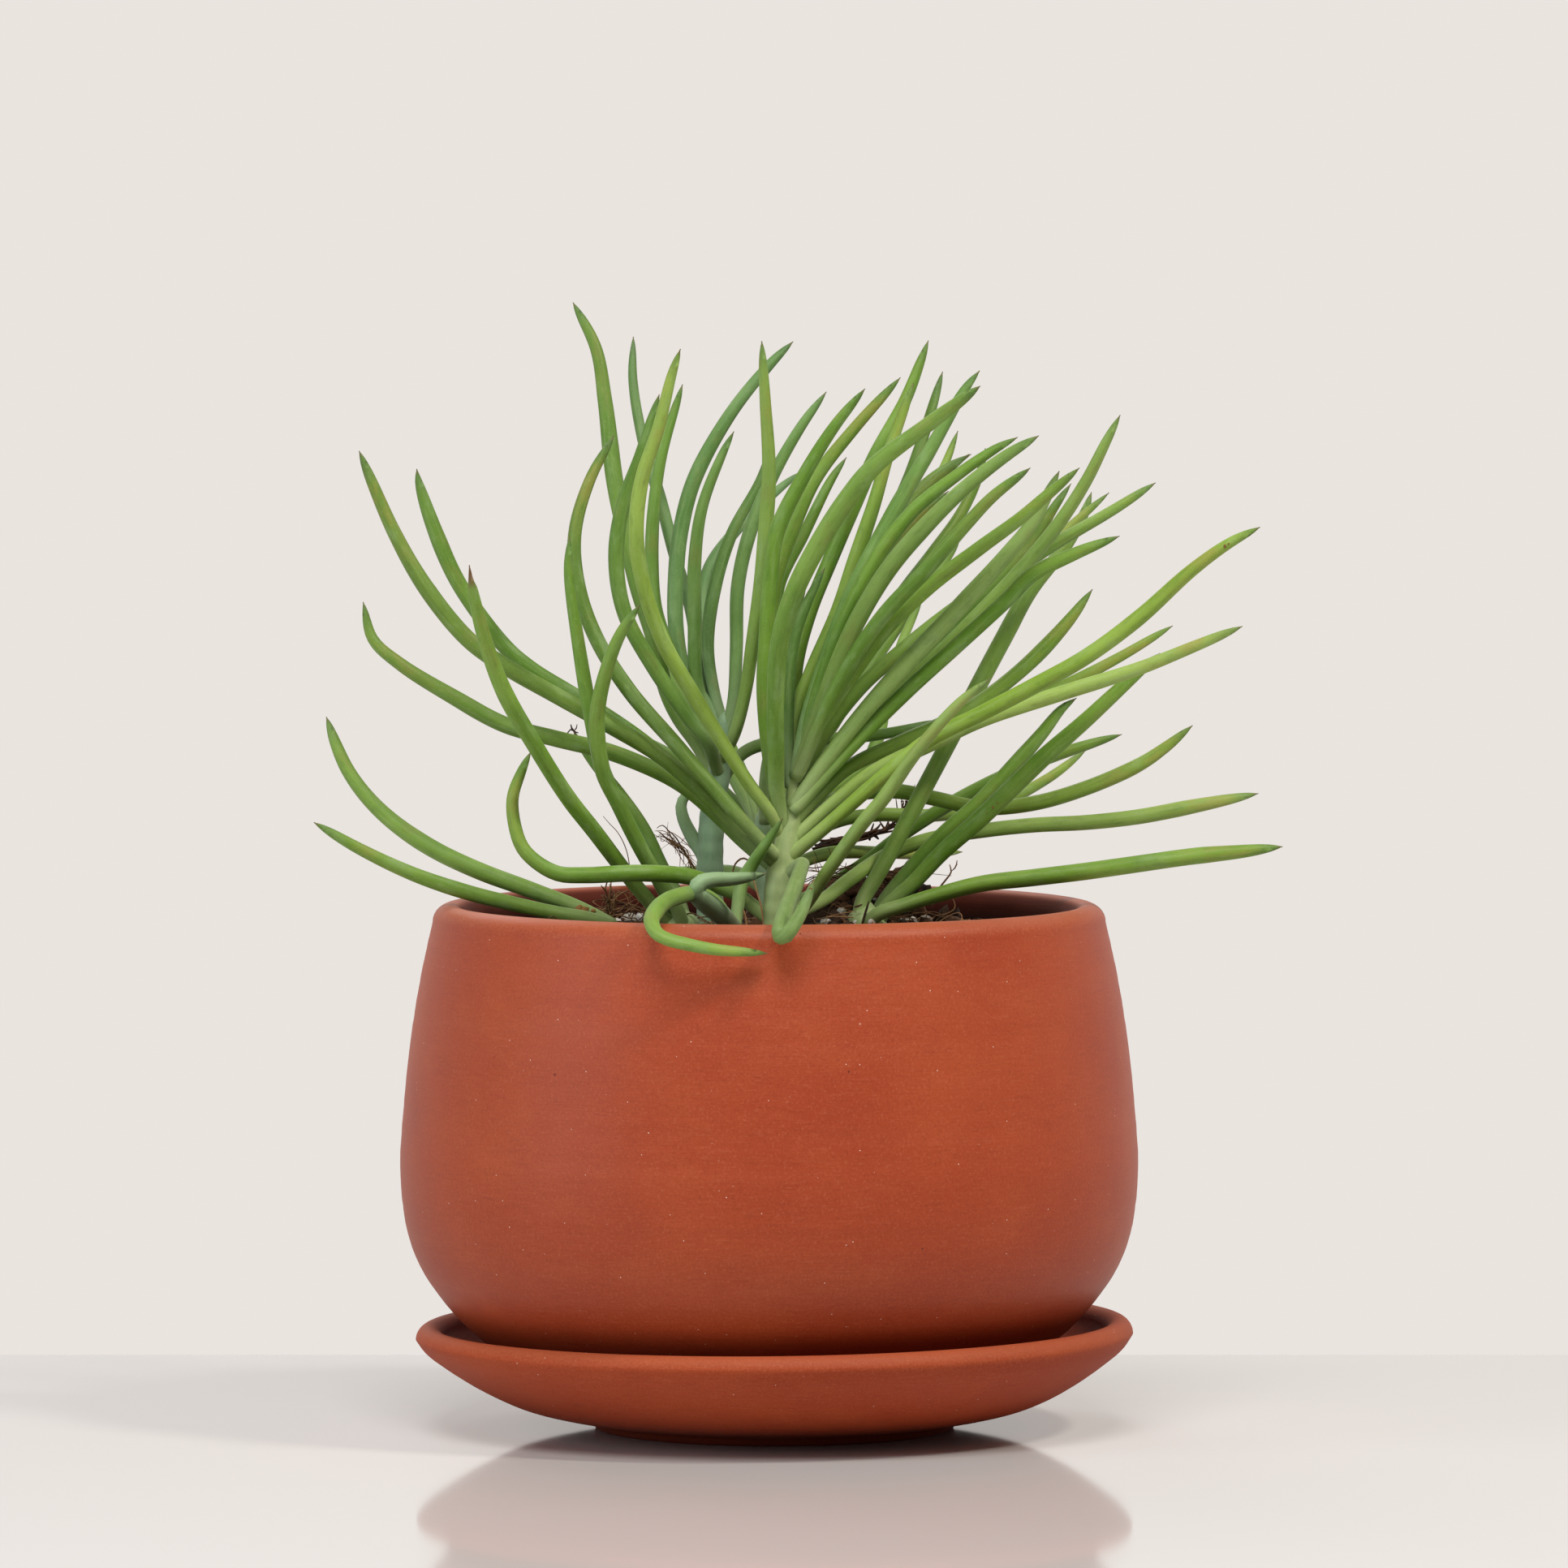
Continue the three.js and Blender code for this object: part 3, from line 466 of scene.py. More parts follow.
# %% Soil
SOIL_EDGE = 93.0
SOIL_RISE = 1.4
SOIL_REACH = 56.6
SOIL_SIDES = 220
SOIL_ROWS = 104
SOIL_SINK = 0.6
SOIL_MIDDLE_SHARE = 0.008
SOIL_WALL, SOIL_WALL_STEP = [(SOIL_REACH, 91.5), (62.9, 52), (55.9, 28), (37.7, 14.5)], 6.0
SOIL_WAVES = [(1, 17, 0.5), (2, 5, 0.28), (4, 2.2, 0.2)]
WAVE_COUNT, WAVE_LENGTHS = 18, (0.7, 1.5)
CLODS = {"seed": 5, "count": 300, "small": 0.8, "large": 2.2}
HEAP_MIDDLE, HEAP_HALF = (17.0, 18.5), (11.5, 8.5, 8.8)
SWELL_MIDDLE, SWELL_HALF = (19.0, 1.0), (13.0, 9.0, 2.3)


def relief(x, y, seed, size, height):
    """Adds up waves of random direction, each about size long, into hills of about the given height."""
    draw = np.random.default_rng(seed)
    turn, start = draw.uniform(0, 2 * math.pi, (2, WAVE_COUNT))
    long = size * draw.uniform(*WAVE_LENGTHS, WAVE_COUNT)
    way = x[..., None] * np.cos(turn) + y[..., None] * np.sin(turn)
    return summed_waves(way, long, start, height)


def in_a_disc(draw, count, reach):
    """Random places, evenly spread over a disc."""
    turn, out = draw.uniform(0, 2 * math.pi, count), reach * np.sqrt(draw.uniform(0, 1, count))
    return out * np.cos(turn), out * np.sin(turn)


def domes(x, y, seed, count, small, large):
    """The highest of many half-buried lumps at each place, 0 between them."""
    draw = np.random.default_rng(seed)
    dome_x, dome_y = in_a_disc(draw, count, SOIL_REACH)
    wide = draw.uniform(small, large, count)
    apart = np.hypot(x[..., None] - dome_x, y[..., None] - dome_y)
    return (0.5 * wide * np.sqrt(np.clip(1 - (apart / wide) ** 2, 0, None))).max(axis=-1)


def offset_share(x, y, middle, half):
    """The squared distance from a middle, in half widths along x and y."""
    return ((x - middle[0]) / half[0]) ** 2 + ((y - middle[1]) / half[1]) ** 2


def soil_height(x, y):
    """The height of the soil's top: a low dome, plus the higher of half an ellipsoid for the heap and a
    bell-shaped swell in front of it, plus waves and clods. A row of SOIL_WAVES is a seed, a size and a
    height."""
    level = SOIL_EDGE + SOIL_RISE * np.clip(1 - (np.hypot(x, y) / SOIL_REACH) ** 2, 0, None)
    heap = HEAP_HALF[2] * np.sqrt(np.clip(1 - offset_share(x, y, HEAP_MIDDLE, HEAP_HALF), 0, None))
    swell = SWELL_HALF[2] * np.exp(-offset_share(x, y, SWELL_MIDDLE, SWELL_HALF) / 2)
    waves = sum(relief(x, y, *wave) for wave in SOIL_WAVES)
    return level - SOIL_SINK + np.maximum(heap, swell) + waves + domes(x, y, **CLODS)


def soil_surface():
    angle = angles(SOIL_SIDES)
    reach = SOIL_REACH * np.linspace(SOIL_MIDDLE_SHARE, 1, SOIL_ROWS)[:, None]
    round_x, round_y = np.cos(angle), np.sin(angle)
    x, y = reach * round_x, reach * round_y
    top = np.stack([x, y, soil_height(x, y)], axis=-1)
    wall = evenly(SOIL_WALL, SOIL_WALL_STEP)
    high = np.repeat(wall[:, 1:], SOIL_SIDES, 1)
    side = np.stack([wall[:, :1] * round_x, wall[:, :1] * round_y, high], axis=-1)
    grid = np.vstack([side[::-1], top[::-1]])
    return closed_grid(grid, [[0, 0, POT_FLOOR], [0, 0, top[0, :, 2].mean()]])


def soil_finish():
    f = Finish("soil_mix")
    patch = f.noise(7.0, 4.0, roughness=0.65)
    crumb = f.noise(1.1, 4.0, roughness=0.75)
    colour = f.blend(f.span(patch, 0.3, 0.7), rgb(34, 24, 18), rgb(78, 55, 40))
    colour = f.layered(colour, [(crumb, 0.5, 0.8, 0.7, (112, 84, 62)), (crumb, 0.45, 0.2, 0.8, (18, 12, 9))])
    normal = f.bump(crumb, 0.9)
    return f.close(Base_Color=colour, Roughness=0.8 + 0.15 * crumb, Normal=normal, Specular_IOR_Level=0.25)


soil = Surface()
soil.add(*soil_surface())
soil.piece("soil_mix", soil_finish(), "soil", "soil")

# %% [markdown]
# A leaf is a tube that thins slowly towards its end and closes in a short blunt point. Its line was followed
# in the photograph: across and up as seen, in millimetres in the plane of the pot's axis, and a third number
# for how far behind that plane it lies. Between two such numbers the depth changes evenly. Before its line
# each leaf has its width, the length over which it thins, its tone from 0, yellow-green, to 1, blue-green,
# and its tint and shading from -1, pale, to 1, deep, which is partly its own green and partly painted light
# and shade. Before its line a stem has its thickness at each point.

# %% The stems
STEMS = {
    "shoot_front": ([7, 6.9, 5.6, 4, 3.2, 3.1, 2.7, 2.2], [(2.2, 94, -12), (2.5, 103), (3, 108.6),
        (3.9, 113.6), (4.5, 116.6), (4.7, 120), (5, 124), (5.2, 127, -12)]),
    "shoot_back": ([5.2, 5, 4.7, 4.3, 4, 2.8], [(-11.2, 94, 10), (-11.2, 108.6), (-10.6, 118.6),
        (-9.6, 124), (-9, 129), (-8.3, 136, 10)]),
    "shoot_rear": ([5.4, 5, 4.6, 3.2], [(1.2, 95, 26), (0.2, 103), (-0.8, 110), (-0.9, 118, 26)]),
    "shoot_right": ([8.4, 7.4, 3.6], [(18.3, 93, -1), (18.6, 97), (19.2, 99.6, -1)]),
    "shoot_left": ([7.6, 7, 4], [(-16.5, 93, -3), (-16.8, 96), (-17.4, 98.8, -3.5)]),
    "sprig_left": ([5.4, 4.2], [(-29.5, 93, 2), (-29.8, 96.4, 2)]),
    "shoot_low": ([5.6, 4.4], [(-6.8, 92, -16.5), (-6.8, 96.4, -16.5)]),
}

# %% Leaves of the front shoot
LEAVES = {}
LEAVES["shoot_front"] = [
    (3.2, 30, 0.3, 0.2, [(1, 96, -11), (-3, 99.3, -10.3), (-6, 101.5, -10.6), (-10, 103.2, -12),
        (-15, 104.9, -16), (-25, 105.6, -23), (-35, 105.2), (-40, 105.5), (-44, 107.6), (-46.8, 110.5),
        (-48.3, 115), (-48.6, 120), (-46.9, 125), (-45.2, 128.6, -18)]),
    (3.1, 30, 0.35, 0.6, [(1, 106.5, -11), (-5, 111.6), (-10, 116.6, -9.5), (-15, 121.1), (-20, 124.3),
        (-30, 128.5), (-40, 131), (-50, 133.7), (-60, 139.1), (-70, 145.3), (-75.1, 150),
        (-76.9, 157, -2)]),
    (3.2, 30, 0.15, 0.9, [(1, 107.8, -13), (-5, 113), (-10, 118.3), (-20, 127.4), (-30, 133.5, -13),
        (-40, 139.1), (-50, 144.8), (-57.1, 150), (-65.2, 160), (-70.9, 170), (-75.3, 180),
        (-77.6, 185.6, -18)]),
    (2.9, 30, 0.3, 1, [(1.5, 108.5, -13.5), (-5, 115.4, -16.5), (-10, 121.1), (-17.7, 130, -17),
        (-26.4, 140), (-32.7, 150), (-36.2, 160), (-36.8, 170), (-34, 180), (-29.4, 188.5, -6)]),
    (2.9, 30, 0, -0.3, [(2.6, 112.6, -12), (0.3, 117, -14), (-3.6, 122.2), (-8.6, 130), (-14.7, 140),
        (-20.3, 150), (-23.7, 160), (-25.1, 170), (-24.1, 180), (-20.9, 190), (-18.4, 200),
        (-16.8, 204.9, -40)]),
    (3, 30, 0.5, 0, [(3, 114, -11), (1.4, 119), (-0.1, 128), (-1, 140), (-0.6, 150), (0, 160), (1.3, 170),
        (6, 180), (12.1, 190), (18.1, 197.4, -22)]),
    (3.6, 30, 0.45, -0.2, [(3.2, 113.5, -12), (2, 117, -13), (1.4, 121, -14.5), (1.3, 128), (1.2, 140),
        (2.1, 150), (4.8, 159), (9.9, 169), (15, 176.9), (20, 182.9), (30, 190.6), (39.9, 197.9, -52)]),
    (2.6, 30, 0.75, 0.8, [(4, 121.8, -12), (3.4, 130), (3.5, 141), (4.6, 149.5), (7, 156.5),
        (10.5, 163.5, -13)]),
    (2.8, 30, 0.3, 0.6, [(4.2, 122.8, -11.5), (2, 134), (0.4, 148), (0.9, 160), (4.1, 170), (8.5, 180),
        (16.2, 190), (24.8, 199.5, -4)]),
    (2.6, 30, 0.5, 0.6, [(4.5, 122.8, -10.5), (2.6, 134), (1, 150), (1.7, 160), (6.6, 170), (11.6, 180),
        (14.6, 184.4, 6)]),
    (3, 30, 0.5, 0.1, [(4.8, 123.8, -11), (4.6, 133), (5, 145), (7.5, 155), (11.5, 165), (15.8, 175),
        (20.2, 185), (25.6, 195), (28.6, 202.5), (30.1, 206.5, 12)]),
    (2.9, 30, 0.25, -0.15, [(4.8, 123.8, -12), (4.1, 133.6), (7.9, 143.6), (12.9, 155), (16.2, 165),
        (19.6, 175), (22.8, 186), (27.3, 198.5, 0)]),
    (2.6, 30, 0.5, 1, [(5, 123.8, -11), (7, 133), (11, 146), (16, 158), (21.2, 168.5), (26.3, 180),
        (29.4, 189), (31.2, 195), (32.8, 200.6, 20)]),
    (3.1, 30, 0.7, 0, [(5, 123.8, -13), (7.2, 135), (11.3, 147.5), (16, 159.5), (22, 171), (27, 180),
        (30, 185), (33.5, 191.2), (37.2, 197.5), (39.8, 200.8, -12)]),
    (2.4, 30, 0.2, 1, [(5.2, 123.8, -10), (9.5, 137), (15, 150.5), (21.5, 163.5), (28, 172.8),
        (33.9, 178, 4)]),
    (2.6, 30, 0.3, 0.9, [(5.2, 123.8, -10), (9.5, 140), (15, 156), (21.5, 170), (27.5, 177.5),
        (32.5, 181.8), (38.2, 185, 12)]),
    (2.8, 30, 0.35, 0.9, [(5.2, 123.8, -11.5), (8, 138), (13.5, 155), (21, 169), (27.5, 176.3), (32.5, 181),
        (37.8, 185, -2)]),
    (2.8, 30, 0.5, 0.1, [(5.2, 123.8, -12.5), (9, 139), (14, 153), (20.5, 165.5), (27.5, 174.5),
        (35, 180.6), (42.5, 185.8), (47, 188.2, -22)]),
    (2.6, 30, 0.35, 0.5, [(5.2, 123.8, -10.5), (9.5, 133), (16.5, 145.5), (24, 157), (31, 166.3),
        (35.8, 173), (38.8, 178.7), (40.3, 183), (40.9, 186.1, 14)]),
    (3.3, 30, 0.65, -0.6, [(5.2, 123.8, -13), (10.5, 139), (16, 152), (22.5, 163), (30, 171.8), (37.5, 179),
        (45, 184.8), (51, 188.5, -33)]),
    (2.9, 30, 0.4, 0.3, [(5.2, 123.8, -14), (10.3, 136), (16, 146.5), (22, 155), (30, 163.5), (37.5, 172),
        (42.5, 177.2), (49.4, 182.4, -42)]),
    (2.9, 30, 0.3, 0, [(5.2, 123.3, -13), (9.5, 133.5), (15.5, 143), (21.5, 151.3), (30, 159.7),
        (40, 167.4), (47.5, 172.9), (52.5, 177.2), (58.7, 182.4, -36)]),
    (3.3, 30, 0.65, -0.9, [(4.6, 118, -13), (9.8, 125.6), (17.1, 135), (25.8, 145), (35, 154.9), (45, 166),
        (50, 172.3), (54.9, 181.8, -27)]),
    (2.7, 30, 0.35, 0.8, [(4.8, 118.5, -11), (13, 128.5), (22, 139.3), (32.5, 149.5), (42.5, 160),
        (49.3, 167.5), (54, 175), (57.1, 179.4, -4)]),
    (2.9, 30, 0.45, -0.6, [(4.6, 117.4, -10.5), (14, 128.3), (22, 136.8, -9), (30, 145), (40, 155),
        (49.3, 165), (55.2, 172.5), (60, 180), (63.8, 187.5), (66.4, 192.4, -14)]),
    (2.3, 30, 0.35, -0.4, [(4, 117, -8.5), (20, 134.3), (35, 149.8), (46, 161.4), (54, 168.7), (60, 174),
        (64.3, 177.7, 8)]),
    (2.8, 30, 0.45, -0.3, [(4, 119, -9), (10, 131), (17.5, 141), (25, 147.7), (35, 155.6), (45, 162.2),
        (55, 168.6), (65, 174.4), (73.1, 179.6, 3)]),
    (2.9, 15, 0.55, 0, [(4.6, 117.3, -13.5), (14, 128), (26, 140, -16), (35, 148.2), (45, 157.4),
        (50, 162.3), (57.5, 166), (66.3, 169.5, -22)]),
    (2.9, 15, 0.35, 0, [(3.5, 114, -12.5), (10, 121), (15, 125.6), (25, 130.4), (35, 135), (42.5, 139.9),
        (50, 146.2), (56.5, 153.2), (61.2, 159.4, 4)]),
    (2.5, 30, 0.25, 0.1, [(3, 111.5, -10), (10, 117.5), (22, 126.5), (38, 133.5), (52, 139.3), (65, 145.8),
        (76.4, 152.5, 6)]),
    (2.9, 30, 0, -0.8, [(3, 110.5, -12), (12, 118.8), (20, 125), (30, 129.8), (40, 134.6), (55, 139.6),
        (70, 144.4), (80, 148.4), (89.6, 152.4, -22)]),
    (3, 30, 0.1, 0, [(3, 108, -13), (10, 113.8), (20, 122.6), (30, 130.7), (40, 135.8), (50, 141),
        (60, 146.6), (70, 154), (80, 163), (87, 168.1), (92.9, 171.2, -40)]),
    (3.1, 15, 0.25, -0.6, [(3, 97, -11), (10, 100.4), (15, 104.2), (22.5, 109.1, 6), (30, 111.9),
        (40, 113.6), (50, 114.7), (60, 115.2), (70, 116.3), (80, 118.2), (92.7, 120.7, 11)]),
    (3, 30, 0.25, -0.9, [(3, 96.6, -13.5), (5.4, 97.8, -16), (7.6, 100.4, -19.5), (10.5, 105, -23),
        (14, 110), (17.7, 115), (21.9, 120), (27.5, 128), (36, 137.8), (41.9, 142.5, -42)]),
    (3.5, 15, 0.5, 0.9, [(3.6, 105.5, -13), (6, 107.2, -18), (5.6, 105.2, -29), (4.6, 102.3, -42),
        (3.6, 99.8, -52), (2.9, 97.9, -60), (2.3, 95.6, -66), (2.1, 94, -69), (3.2, 93.7, -71),
        (4.5, 95.4, -70.5), (5.9, 97.7, -69.8), (7.3, 100.9, -69), (8.5, 104.6, -68)]),
]

# %% Leaves of the back shoot
LEAVES["shoot_back"] = [
    (2.8, 30, 1, -0.8, [(-11.4, 104, 10), (-12.6, 109), (-14.6, 112.5), (-16.4, 116.4), (-16.6, 119),
        (-14.8, 121), (-11.5, 120.2, 16)]),
    (3.1, 15, 0.6, 0.5, [(-10.4, 116.5, 10), (-14, 122, 4), (-24, 130.6), (-36, 138.6), (-45, 144.2),
        (-50, 148.5), (-58.5, 160), (-63.1, 170), (-66.4, 180), (-66.7, 182.2, -2)]),
    (3, 30, 0.6, 0.4, [(-9.6, 124.5, 9), (-12, 131, 3), (-15.2, 135), (-22.1, 145), (-27.4, 155),
        (-29, 165), (-27.8, 175), (-24.3, 185), (-20.8, 196.3, -3)]),
    (3.2, 30, 0.4, 0.6, [(-9.6, 123, 10.5), (-13.7, 130), (-17.2, 135), (-19.5, 140), (-21.9, 150),
        (-25, 160), (-27.3, 170), (-29.3, 180), (-31.1, 195), (-32.8, 205), (-37.1, 213.7, 34)]),
    (2.6, 30, 0.6, 0.15, [(-9.2, 127, 9), (-12.6, 135, 6.3), (-17.4, 145), (-21.3, 155), (-22.2, 165),
        (-21.8, 175), (-20.3, 185), (-16.4, 198.2, 12)]),
    (3, 30, 0.85, 0.4, [(-8.6, 131, 10.5), (-11.5, 137, 12), (-16, 144), (-17.6, 152), (-17.6, 162),
        (-16.8, 170), (-14.2, 180), (-7.5, 192.3), (0, 201.8), (4.5, 206.3, 24)]),
    (2.4, 30, 0.85, 0.7, [(-8.4, 132, 11), (-10, 137), (-13, 145), (-15, 156), (-17.8, 165.5), (-20.5, 176),
        (-23.9, 187.5), (-25.8, 199), (-25.7, 207.2, 46)]),
    (2.7, 30, 0.75, -0.1, [(-8.6, 130, 9.5), (-11.4, 135), (-13.8, 142), (-14.1, 152), (-14.1, 165),
        (-12.7, 175), (-8.9, 185), (-6.7, 189.3, 2)]),
    (2.6, 30, 0.9, 0.2, [(-8.4, 132.5, 11.5), (-10.8, 139), (-12.8, 147), (-13, 154), (-11.3, 163.5),
        (-5.5, 171.5), (1.3, 178), (6, 181.7, 42)]),
    (2.6, 30, 0.8, 0.7, [(-8.3, 132.5, 10.5), (-10.4, 140), (-11.6, 149), (-10.2, 160), (-7, 170),
        (-1.7, 180), (0.4, 186.6, 26)]),
    (2.7, 30, 0.8, -0.2, [(-8.3, 132, 9.5), (-6.8, 138), (-6.2, 148), (-5.9, 160), (-3.7, 170), (0.3, 180),
        (5.9, 190), (10.8, 196.8, 12)]),
    (2.8, 30, 0.4, -0.5, [(-9.2, 127, 9), (-6.4, 132.5, 4), (-4.5, 140), (-3, 150), (-1.6, 160),
        (-0.7, 170), (0, 182), (-0.7, 195), (-1.4, 206.4, -10)]),
    (2.7, 30, 0.6, 0.5, [(-9.8, 122, 11), (-5, 128.3), (0, 130.3), (8, 131), (16, 131.3), (24, 132.4),
        (33, 134.6, 18)]),
]

# %% Leaves of the rear shoot
LEAVES["shoot_rear"] = [
    (2.9, 15, 0.4, 0, [(0.6, 98.5, 25), (8, 101.5), (17, 106.8, 20), (25, 112.7), (33, 117.9), (40, 121.8),
        (50, 126.4), (60, 129.8), (66.8, 131.9, 30)]),
    (2.6, 30, 0.2, -0.2, [(-0.4, 106, 27), (8, 113), (14, 115.8), (20.5, 116.7, 36), (31, 116.6),
        (42, 118.2), (52.5, 123.4), (60, 128.9, 58)]),
    (2.9, 15, 0.15, 0.4, [(-0.6, 110.5, 25), (8, 117.5), (15, 120.3), (24, 121.1, 14), (31, 119.8),
        (40, 118), (50, 118.8), (60, 121.7), (70, 126.1), (75, 129.4), (80.2, 133.6, 14)]),
    (2.7, 30, 0.2, -0.4, [(-0.2, 103.5, 27), (6, 107.6), (12, 109.4), (20, 109.5), (28, 109.2),
        (36.6, 109.6, 62)]),
    (2.5, 30, 0.5, -0.2, [(-0.6, 112, 27), (8, 119), (14, 123), (18.5, 126.8), (20.8, 132), (22, 138),
        (25, 149), (29, 158, 60)]),
    (2.4, 30, 0.2, 0.3, [(-0.8, 114, 28), (6, 129), (14, 147), (22, 163.5), (29.5, 176), (33, 182.5),
        (35.7, 189.4, 62)]),
    (2.8, 30, 0.6, 0.5, [(-0.9, 115, 25), (-0.6, 124), (1, 132), (2.6, 142), (4, 152), (7, 161, 18)]),
    (2.8, 30, 0.5, 0, [(-1, 114, 27), (-5, 124), (-9, 133), (-12, 142), (-13.6, 153), (-13.8, 168, 66)]),
    (2.8, 30, 0.4, 0.4, [(-0.6, 113, 28), (6, 124), (12, 134), (19, 145), (26, 155), (36, 168.5, 73)]),
    (2.8, 30, 0.5, 0, [(-1.2, 110, 27), (-6, 118), (-12, 123.5), (-20, 128.5), (-28, 132.6),
        (-36, 138, 71)]),
    (2.8, 30, 0.6, -0.3, [(-0.4, 111, 28), (7, 116.5), (15, 121.5), (24, 127.5), (33, 132),
        (50, 139.5, 73)]),
    (2.8, 30, 0.5, 0.4, [(-0.9, 115, 27), (0, 126), (1, 136), (1, 146), (0.2, 158), (-0.8, 176, 56)]),
    (2.8, 30, 0.4, -0.3, [(-0.4, 102, 27), (-6, 105.6), (-14, 105.6), (-22, 105.3), (-30, 105.4),
        (-39, 106, 66)]),
    (2.8, 30, 0.5, -0.3, [(-1.2, 113, 28), (-8, 126), (-15, 137), (-20, 146), (-23.5, 156),
        (-26.5, 176, 60)]),
]

# %% Leaves of the right shoot
LEAVES["shoot_right"] = [
    (3.3, 30, 0.5, -0.4, [(16.9, 94.5, -2), (17.6, 100), (20.4, 105), (23.2, 110), (28.5, 120), (33.8, 130),
        (39, 140), (44.3, 150), (49.3, 159), (56, 167.5), (59.5, 173.5), (61, 177.8, 16)]),
    (3, 15, 0.55, 0, [(19.7, 95, 2), (21, 99), (26.5, 106), (33.2, 113.2), (39.5, 118.8), (46.5, 126.2),
        (51.6, 132), (55.5, 136.8), (58.2, 138.8, 4)]),
    (3.4, 30, 0.45, 0, [(19.6, 95, -1), (22.5, 99.2), (28, 104.4), (32.6, 109.3), (40, 115.9),
        (47.5, 123.2), (52.5, 128), (60, 134.6), (68.5, 142.5), (74, 147.3, -13)]),
    (3.3, 15, 0.3, 0.1, [(17.8, 95.4, -3), (21, 98, -6), (25, 99.3), (30, 100.9), (40, 103.5), (50, 104.7),
        (60, 105.9), (70, 107.3), (80, 108.7), (90, 109.7), (97.3, 110.6, -4)]),
]

# %% Leaves of the left shoot
LEAVES["shoot_left"] = [
    (3.2, 30, 0.4, -0.1, [(-18, 95, -3), (-20.7, 97.9), (-25.3, 103.2), (-33.2, 113.6), (-38.2, 120),
        (-44.5, 130), (-50.2, 140), (-53.9, 150), (-56.3, 160), (-56.8, 164, -46)]),
    (3.1, 30, 0.45, -0.2, [(-16, 94.5, -5), (-17.8, 99.5), (-23.5, 108.6), (-28.6, 118.6), (-31.6, 125),
        (-32.7, 135), (-30.6, 145), (-28, 151.3), (-24.5, 156.5, -34)]),
    (2.9, 30, 0.5, 0.3, [(-16.7, 95, -2), (-19.5, 101), (-26.5, 114.5), (-31.8, 126), (-33.8, 135, -18.2),
        (-36.3, 150), (-38, 163), (-37.8, 169.5, -22)]),
    (2.9, 30, 0.5, 0.4, [(-15.6, 95, -1), (-17.4, 101), (-20.6, 107), (-24.2, 114.4), (-28.6, 120.8),
        (-33.4, 126.8), (-36.4, 131.2), (-37.2, 133, 10)]),
]

# %% Leaves of the long left shoot
LEAVES["sprig_left"] = [
    (3, 30, 0.35, -0.2, [(-29.4, 95.4, 0.5), (-34, 96.9, -1), (-40, 97.9), (-47.5, 99.5), (-57.5, 102),
        (-67.5, 105.4), (-77.5, 110.1), (-86.3, 115.2, -8)]),
    (3.4, 30, 0.55, -0.3, [(-29.8, 95.6, 3.4), (-36, 98.8, 5), (-45, 102.3), (-55, 106), (-63.8, 110.2),
        (-71.2, 115.2), (-76.2, 120), (-79.8, 125), (-82.1, 130), (-83.9, 135.2, 14)]),
]

# %% Leaves of the low shoot
LEAVES["shoot_low"] = [
    (2.9, 30, 0.65, 0, [(-6.5, 94.5, -15.5), (-6, 98.6), (-5.2, 103.6, -14.4), (-3.3, 107, -14.9),
        (-1.1, 110.4, -17.6), (1, 113.6, -19.4), (2.6, 116, -20.6)]),
    (3.3, 30, 0.4, -0.3, [(-7, 93.5, -17), (-8.2, 96.9, -18.5), (-9.8, 99.6, -21.5), (-12, 101.2, -26),
        (-15, 101.6, -33), (-17.2, 101.2, -42), (-19.5, 100.3, -51), (-21.2, 98.9, -58.5),
        (-22.3, 96.4, -65), (-21.4, 94.2, -68), (-19.6, 93.1, -69), (-15, 91.9, -69.5), (-10, 91, -69),
        (-5, 90.6, -68.5), (-0.3, 90.3, -68)]),
    (4, 30, 1, -0.9, [(-7, 95.4, -17), (-9, 97.6, -23), (-11.2, 99.4, -29), (-13.2, 101, -33),
        (-14, 102.3, -34.5), (-13.2, 103.6, -34), (-10.7, 104.3, -32.5), (-8.2, 104.4, -31),
        (-5.6, 104.6, -30), (-3, 105, -29), (-0.6, 105.5, -28.5)]),
]

print("leaves:", sum(len(rows) for rows in LEAVES.values()))

# %% [markdown]
# The camera looks from a point, so what lies behind the pot's axis looks smaller and lower than it is. Each
# seen point is moved along its own line of sight to its depth.

# %% From the picture to the plant
TUBE_ENDS = 0.3, 0.8


def placed(points):
    """Spreads the missing depths by seen length, then scales each point's offset from the eye's line by its
    distance over the distance of the axis."""
    seen = np.array([point[:2] for point in points], float)
    run = run_of(seen)
    known = [i for i, point in enumerate(points) if len(point) == 3]
    depth = np.interp(run, run[known], [points[i][2] for i in known])
    reach = (depth - EYE[1]) / -EYE[1]
    across = EYE[0] + (seen[:, 0] - EYE[0]) * reach
    up = EYE[2] + (seen[:, 1] - EYE[2]) * reach
    return np.stack([across, depth, up], axis=-1)


def tube(line, radii, sides, flattening=1.0, shape=1.0):
    """A closed tube: an oval ring square to the line at each of its places. The flat side of the oval looks
    along the direction that the line bends in least. Its ends stand out by a share of their radius."""
    along = np.gradient(line, axis=0)
    along /= np.linalg.norm(along, axis=1, keepdims=True)
    facing = np.linalg.svd(line - line.mean(axis=0))[2][-1]
    side = facing - (along @ facing)[:, None] * along
    side /= np.linalg.norm(side, axis=1, keepdims=True)
    across = np.cross(along, side)
    turn = angles(sides)
    wide = (np.asarray(radii)[:, None] * np.ones(sides) * shape)[..., None]
    ring = flattening * np.cos(turn)[:, None] * side[:, None] + np.sin(turn)[:, None] * across[:, None]
    grid = line[:, None] + wide * ring
    first = line[0] - TUBE_ENDS[0] * radii[0] * along[0]
    last = line[-1] + TUBE_ENDS[1] * radii[-1] * along[-1]
    return closed_grid(grid, [first, last])


